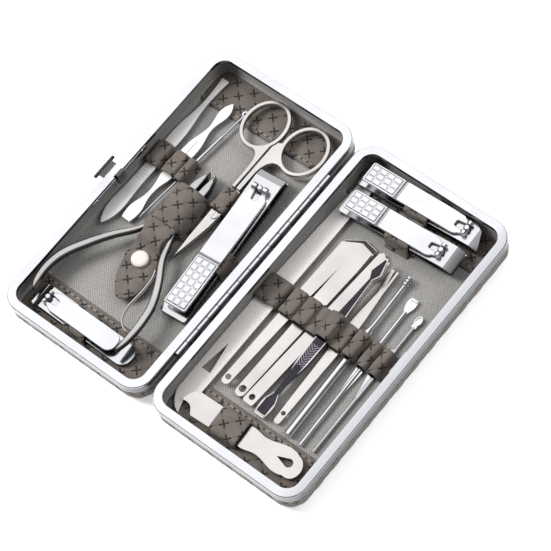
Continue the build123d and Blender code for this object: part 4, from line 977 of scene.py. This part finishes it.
PLATE_SPAN, PLATE_LEVEL, PLATE_REACH = (-5.9, 5.9, 1.2), -10.25, 15
PLATE_LOOP_AT = (30.0, -65.2), (45.0, -64.4)


def inner_quilt():
    """How deep the seams of the inner leather sink, and their pitch."""
    scene = bpy.context.scene
    return scene.manicure_leather.strap_puff, scene.manicure_finishes.quilt_pitch * INNER_SHARE


def arch_power(half, rise):
    """How square a loop has to be for its inside to clear a tool's corners."""
    power = 2.4
    side, top = half / (half + LOOP_CLEARANCE), rise / (rise + LOOP_CLEARANCE + CROWN)
    while side ** power + top ** power > 0.985 and power < 12:
        power += 0.2
    return power


def lining_height(x):
    """Top of the lining: the floor, and its rounded corners beside the long walls."""
    wall = min(abs(x) - NEAR_EDGE, FAR_EDGE - abs(x)) - CAVITY_INSET
    inside = min(max(CAVITY_RADIUS - wall, 0), CAVITY_RADIUS)
    return FLOOR + CAVITY_RADIUS - math.sqrt(CAVITY_RADIUS ** 2 - inside ** 2)


def strap_profile(spans, foot, walls, crown, square):
    """The strap's outer line across the tools, in fine steps: arches, and valleys sewn down between them."""
    skin = LOOP_CLEARANCE + STRAP_THICKNESS
    start, stop = spans[0][0] - skin - STRAP_FOOT, spans[-1][1] + skin + STRAP_FOOT
    if walls:
        nearest, farthest = NEAR_EDGE + CAVITY_INSET + 0.3, FAR_EDGE - CAVITY_INSET - 0.3
        start = max(start, nearest if start > 0 else -farthest)
        stop = min(stop, farthest if stop > 0 else -nearest)
    arches = []
    for low, high, top in spans:
        half, rise = (high - low) / 2, top - foot
        arches.append(((low + high) / 2, half + skin, rise + skin + crown, square or arch_power(half, rise)))
    profile = []
    count = int((stop - start) / 0.02)
    for k in range(count + 1):
        x = start + (stop - start) * k / count
        z = lowest = (lining_height(x) if walls else foot) + STRAP_THICKNESS
        for middle, half, rise, power in arches:
            share = abs(x - middle) / half
            if share < 1:
                z = max(z, foot + rise * (1 - share ** power) ** (1 / power))
        for before, after in zip(spans, spans[1:]):
            valley = (before[1] + after[0]) / 2
            z -= VALLEY_DEPTH * math.exp(-((x - valley) / 0.5) ** 2)
        profile.append(Vector((x, max(z, lowest))))
    return profile


def even_steps(profile):
    """The same line as (distance along, place) at even steps, a little smoother."""
    runs, places, run, wanted = [0.0], [profile[0]], 0.0, STRAP_STEP
    for before, after in zip(profile, profile[1:]):
        length = (after - before).length
        while run + length >= wanted:
            runs.append(wanted)
            places.append(before.lerp(after, (wanted - run) / length))
            wanted += STRAP_STEP
        run += length
    for _ in range(2):
        inner = [(a + 2 * b + c) / 4 for a, b, c in zip(places, places[1:], places[2:])]
        places = [places[0], *inner, places[-1]]
    return list(zip(runs, places))


def strap(spans, start, end, foot, shift=0.0, walls=True, crown=CROWN, square=None, rolls=(1, 1)):
    """A quilted strap sewn down between the tools; its sides are rolled."""
    depth, pitch = inner_quilt()
    line = even_steps(strap_profile(spans, foot, walls, crown, square))
    width, total, columns = end - start, line[-1][0], len(line) - 1
    bm = grid(columns, round(width / 0.55))
    unroll(bm, lambda vert: (((vert.co.x + 0.5) * total + shift) / 1000, (vert.co.y + 0.5) * width / 1000))
    for vert in bm.verts:
        index = round((vert.co.x + 0.5) * columns)
        across = (vert.co.y + 0.5) * width
        run, point = line[index]
        before, after = line[max(index - 1, 0)][1], line[min(index + 1, columns)][1]
        normal = Vector((before.y - after.y, after.x - before.x)).normalized()
        edge = min(across if rolls[0] else width, width - across if rolls[1] else width)
        sink = depth * (1 - puff(run + shift, across, pitch)) * min(edge / 1.2, 1.0)
        roll = 0.55 * math.exp(-edge / 0.45)
        at = point - normal * min(sink + roll, STRAP_THICKNESS * 0.8)
        vert.co = (at.x, start + across, at.y)
    return bm


def clipper_loop(clipper):
    """A loop round a clipper, laid with it."""
    half, (start, end) = clipper.width / 2, clipper.loop
    return strap([(-half, half, clipper.blade_top(end))], start, end, FLOOR - clipper.level, start, False)


class MANICURE_OT_straps(bpy.types.Operator):
    """Sew the leather straps and loops over the tools"""
    bl_idname = "manicure.straps"
    bl_label = "Straps and loops"

    def execute(self, context):
        for side, crossing in CROSS_STRAPS.items():
            straps = [(strap(tools, start, end, FLOOR, shift, crown=crown), Matrix())
                      for tools, start, end, shift, crown in crossing]
            if side == "right":
                loop = strap([PLATE_SPAN], 0, PLATE_REACH, FLOOR - PLATE_LEVEL, 2.0, False, 1.2)
                straps.append((loop, laid(*PLATE_LOOP_AT, PLATE_LEVEL)))
            for name in CLIPPER_SIDES[side]:
                straps.append((clipper_loop(CLIPPERS[name]), CLIPPERS[name].place))
            for bm, place in straps:
                bmesh.ops.transform(bm, matrix=place, verts=bm.verts)
            whole = join(*[bm for bm, _ in straps])
            add_leather(whole, f"{side}_straps", f"{side}_leather_loops", STRAP_SKIN)
        return {"FINISHED"}


# ---- leather over the nippers
HOLDER_SPAN, HOLDER_START, HOLDER_END = (-58.6, -42.3), -6.0, 15.2
HOLDER_UNDER, FLAP_LOW = -4.75, -9.4
FLAP_START, FLAP_END = -6.2, -46.2
FLAP_SIDE = [(-6.2, -4.75), (-13.0, -4.75), (-16.5, -5.4), (-19.5, -8.1), (-22.5, -9.3), (-27.0, -9.4),
             (-46.2, -9.4)]
FLAP_LEFT = [(-6.2, -58.4), (-10.0, -57.9), (-14.5, -56.0), (-20.0, -56.8), (-25.0, -57.0), (-31.0, -55.5),
             (-38.0, -52.8), (-43.0, -49.3), (-45.4, -47.2), (-46.2, -45.2)]
FLAP_RIGHT = [(-6.2, -42.4), (-10.0, -42.5), (-14.5, -43.5), (-20.0, -41.8), (-25.0, -39.0), (-31.0, -37.4),
              (-38.0, -38.0), (-43.0, -40.4), (-45.4, -42.4), (-46.2, -44.2)]
SNAP_AT = (-48.4, -25.6, FLAP_LOW + STRAP_THICKNESS)
SNAP_PROFILE = [(0, 0), (3.9, 0), (4.2, 0.2), (4.25, 0.5), (4.0, 0.75), (4.0, 0.95), (4.25, 1.15), (4.2, 1.6),
                (3.8, 1.98), (2.6, 2.2), (1.2, 2.28), (0, 2.3)]


def smooth_value(table, at):
    """Read a table of (place, value), falling in place, along a smooth line."""
    rows = sorted(table)
    at = min(max(at, rows[0][0]), rows[-1][0])
    k = next(k for k in range(len(rows) - 1) if at <= rows[k + 1][0])
    (x0, y0), (x1, y1) = rows[k], rows[k + 1]
    before, after = rows[max(k - 1, 0)], rows[min(k + 2, len(rows) - 1)]
    slope0, slope1 = (y1 - before[1]) / (x1 - before[0]), (after[1] - y0) / (after[0] - x0)
    run = x1 - x0
    t = (at - x0) / run
    return ((2 * t ** 3 - 3 * t ** 2 + 1) * y0 + (t ** 3 - 2 * t ** 2 + t) * run * slope0
            + (3 * t ** 2 - 2 * t ** 3) * y1 + (t ** 3 - t ** 2) * run * slope1)


def flap_sheet():
    """The flap's outer face: crowned across, dipping between the handles, rounded at its tip."""
    depth, pitch = inner_quilt()
    bm = grid(30, 74)
    flat = {}
    for vert in bm.verts:
        share, along = vert.co.x + 0.5, FLAP_START + (FLAP_END - FLAP_START) * (0.5 - vert.co.y) ** 0.97
        left, right = smooth_value(FLAP_LEFT, along), smooth_value(FLAP_RIGHT, along)
        x = left + (right - left) * share
        edge = min(share, 1 - share) * (right - left)
        edge = min(edge, (along - FLAP_END) * 1.4 + 0.2)
        height = smooth_value(FLAP_SIDE, along) + STRAP_THICKNESS
        crown = 0.35 * (1 - (2 * share - 1) ** 2) * min((FLAP_START - along) / 4, 1)
        hem = min(edge / 1.5, 1.0) if along < -8 else 1.0
        sink = depth * (1 - puff(x, along, pitch)) * hem + 0.5 * math.exp(-edge / 0.35)
        vert.co = (x, along, height + crown - sink)
        flat[vert] = (x / 1000, along / 1000)
    unroll(bm, flat.get)
    bmesh.ops.recalc_face_normals(bm, faces=bm.faces)
    return bm


def holder_sheet():
    """The wrap round the nippers, flattened towards the flap's hinge."""
    span = (*HOLDER_SPAN, HOLDER_UNDER - LOOP_CLEARANCE)
    bm = strap([span], HOLDER_START, HOLDER_END, FLOOR, 4.0, False, 0.9, 2.6, (0, 1))
    top = HOLDER_UNDER + STRAP_THICKNESS
    for vert in bm.verts:
        if vert.co.z > top:
            vert.co.z = top + (vert.co.z - top) * min((vert.co.y - HOLDER_START) / 4, 1)
    return bm


class MANICURE_OT_flap(bpy.types.Operator):
    """Wrap the nippers in their leather holder, with its flap and snap cap"""
    bl_idname = "manicure.flap"
    bl_label = "Nipper holder, flap and snap"

    def execute(self, context):
        add_leather(holder_sheet(), "nipper_wrap", "nipper_holder", STRAP_SKIN)
        add_leather(flap_sheet(), "nipper_flap_leather", "nipper_flap", STRAP_SKIN)
        add_piece(turned(SNAP_PROFILE, 48), "snap_button", "snap_cap", "pearl cap",
                  Matrix.Translation(SNAP_AT), smooth=True)
        return {"FINISHED"}


# ---- stage
CAMERA_AT = Vector((449.9 + HINGE_X, -298.0, 1003.9 + HALF_HEIGHT)) / 1000
CAMERA_FORWARD = Vector((-0.38629, 0.26361, -0.88390))
CAMERA_RIGHT = Vector((0.76626, 0.62516, -0.14843))
CAMERA_LENS = 166.94
FLOOR_REACH = 1.6
SOFTBOX_TOWARDS = Vector((-0.386, 0.264, 0.884))
SKY = [(0.0, 0.24), (0.42, 0.1), (0.70, 0.25), (0.85, 1.0), (0.95, 1.3)]


def area_light(name, at, size, power):
    """A light that shines on the origin, and that no metal mirrors."""
    data = bpy.data.lights.new(name, "AREA")
    data.shape = "RECTANGLE"
    data.size, data.size_y = size
    data.energy = power
    lamp = bpy.data.objects.new(name, data)
    lamp.location = at
    lamp.visible_glossy = False
    lamp.rotation_euler = (-Vector(at)).to_track_quat("-Z", "Y").to_euler()
    bpy.context.scene.collection.objects.link(lamp)


def add_camera(scene):
    forward = CAMERA_FORWARD.normalized()
    up = CAMERA_RIGHT.normalized().cross(forward).normalized()
    data = bpy.data.cameras.new("studio camera")
    data.lens, data.sensor_width = CAMERA_LENS, 36.0
    data.clip_start, data.clip_end = 0.05, 20
    camera = bpy.data.objects.new("studio camera", data)
    camera.matrix_world = Matrix((forward.cross(up), up, -forward)).transposed().to_4x4()
    camera.matrix_world.translation = CAMERA_AT
    scene.collection.objects.link(camera)
    scene.camera = camera


def add_floor(color):
    finish = Finish("pale floor", color, 0.0, 0.6, Emission_Strength=0.45, Emission_Color=(1, 1, 1, 1))
    floor = add_object(grid(1, 1, Matrix.Scale(2 * FLOOR_REACH, 4)), "floor", finish.material.name)
    floor.location.z = -0.0002


def add_sky(scene, strength):
    """Soft light all round, brightest where the polished metal mirrors it towards the camera."""
    world = bpy.data.worlds.new("studio")
    world.use_nodes = True
    scene.world = world
    tree = world.node_tree
    background = tree.nodes["Background"]
    coordinates = tree.nodes.new("ShaderNodeTexCoord")
    facing = tree.nodes.new("ShaderNodeVectorMath")
    facing.operation = "DOT_PRODUCT"
    facing.inputs[1].default_value = SOFTBOX_TOWARDS.normalized()
    ramp = tree.nodes.new("ShaderNodeValToRGB")
    while len(ramp.color_ramp.elements) < len(SKY):
        ramp.color_ramp.elements.new(0.5)
    for element, (position, grey) in zip(ramp.color_ramp.elements, SKY):
        element.position = position
        element.color = (grey, grey, grey * 1.02, 1)
    tree.links.new(coordinates.outputs["Generated"], facing.inputs[0])
    tree.links.new(facing.outputs["Value"], ramp.inputs["Fac"])
    tree.links.new(ramp.outputs["Color"], background.inputs["Color"])
    background.inputs["Strength"].default_value = strength


class MANICURE_OT_stage(bpy.types.Operator):
    """Set up the camera, the soft studio light and the pale floor"""
    bl_idname = "manicure.stage"
    bl_label = "Stage"

    def execute(self, context):
        look = context.scene.manicure_studio
        add_camera(context.scene)
        add_floor(tuple(look.floor))
        area_light("key light", (-0.76, -0.30, 0.86), (0.5, 0.5), look.key_power)
        area_light("fill light", (0.70, 0.55, 0.8), (0.8, 0.5), look.fill_power)
        add_sky(context.scene, look.sky)
        context.scene.view_settings.view_transform = "Standard"
        return {"FINISHED"}


class MANICURE_PT_panel(bpy.types.Panel):
    """Lists the pieces of the set, in the order in which they are made, and their settings"""
    bl_label = "Manicure Set Case"
    bl_idname = "MANICURE_PT_panel"
    bl_space_type = "VIEW_3D"
    bl_region_type = "UI"
    bl_category = "Manicure"

    def draw(self, context):
        for operator in OPERATORS:
            self.layout.operator(operator.bl_idname)
        for group in GROUPS:
            settings = getattr(context.scene, group)
            for name in settings.__annotations__:
                self.layout.prop(settings, name)


OPERATORS = (MANICURE_OT_finishes, MANICURE_OT_covers, MANICURE_OT_bands, MANICURE_OT_straps,
             MANICURE_OT_flap, MANICURE_OT_clippers, MANICURE_OT_scissors, MANICURE_OT_nippers,
             MANICURE_OT_faces, MANICURE_OT_stage)
GROUPS = {"manicure_finishes": ManicureFinishes, "manicure_leather": ManicureLeather,
          "manicure_studio": ManicureStudio}


def register():
    for group in (*GROUPS.values(), *OPERATORS, MANICURE_PT_panel):
        bpy.utils.register_class(group)
    for name, group in GROUPS.items():
        setattr(bpy.types.Scene, name, PointerProperty(type=group))


def unregister():
    for name in GROUPS:
        delattr(bpy.types.Scene, name)
    for group in (MANICURE_PT_panel, *reversed(OPERATORS), *GROUPS.values()):
        bpy.utils.unregister_class(group)


def main():
    register()
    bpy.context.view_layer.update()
    for operator in OPERATORS:
        category, name = operator.bl_idname.split(".")
        getattr(getattr(bpy.ops, category), name)()


if __name__ == "__main__":
    main()
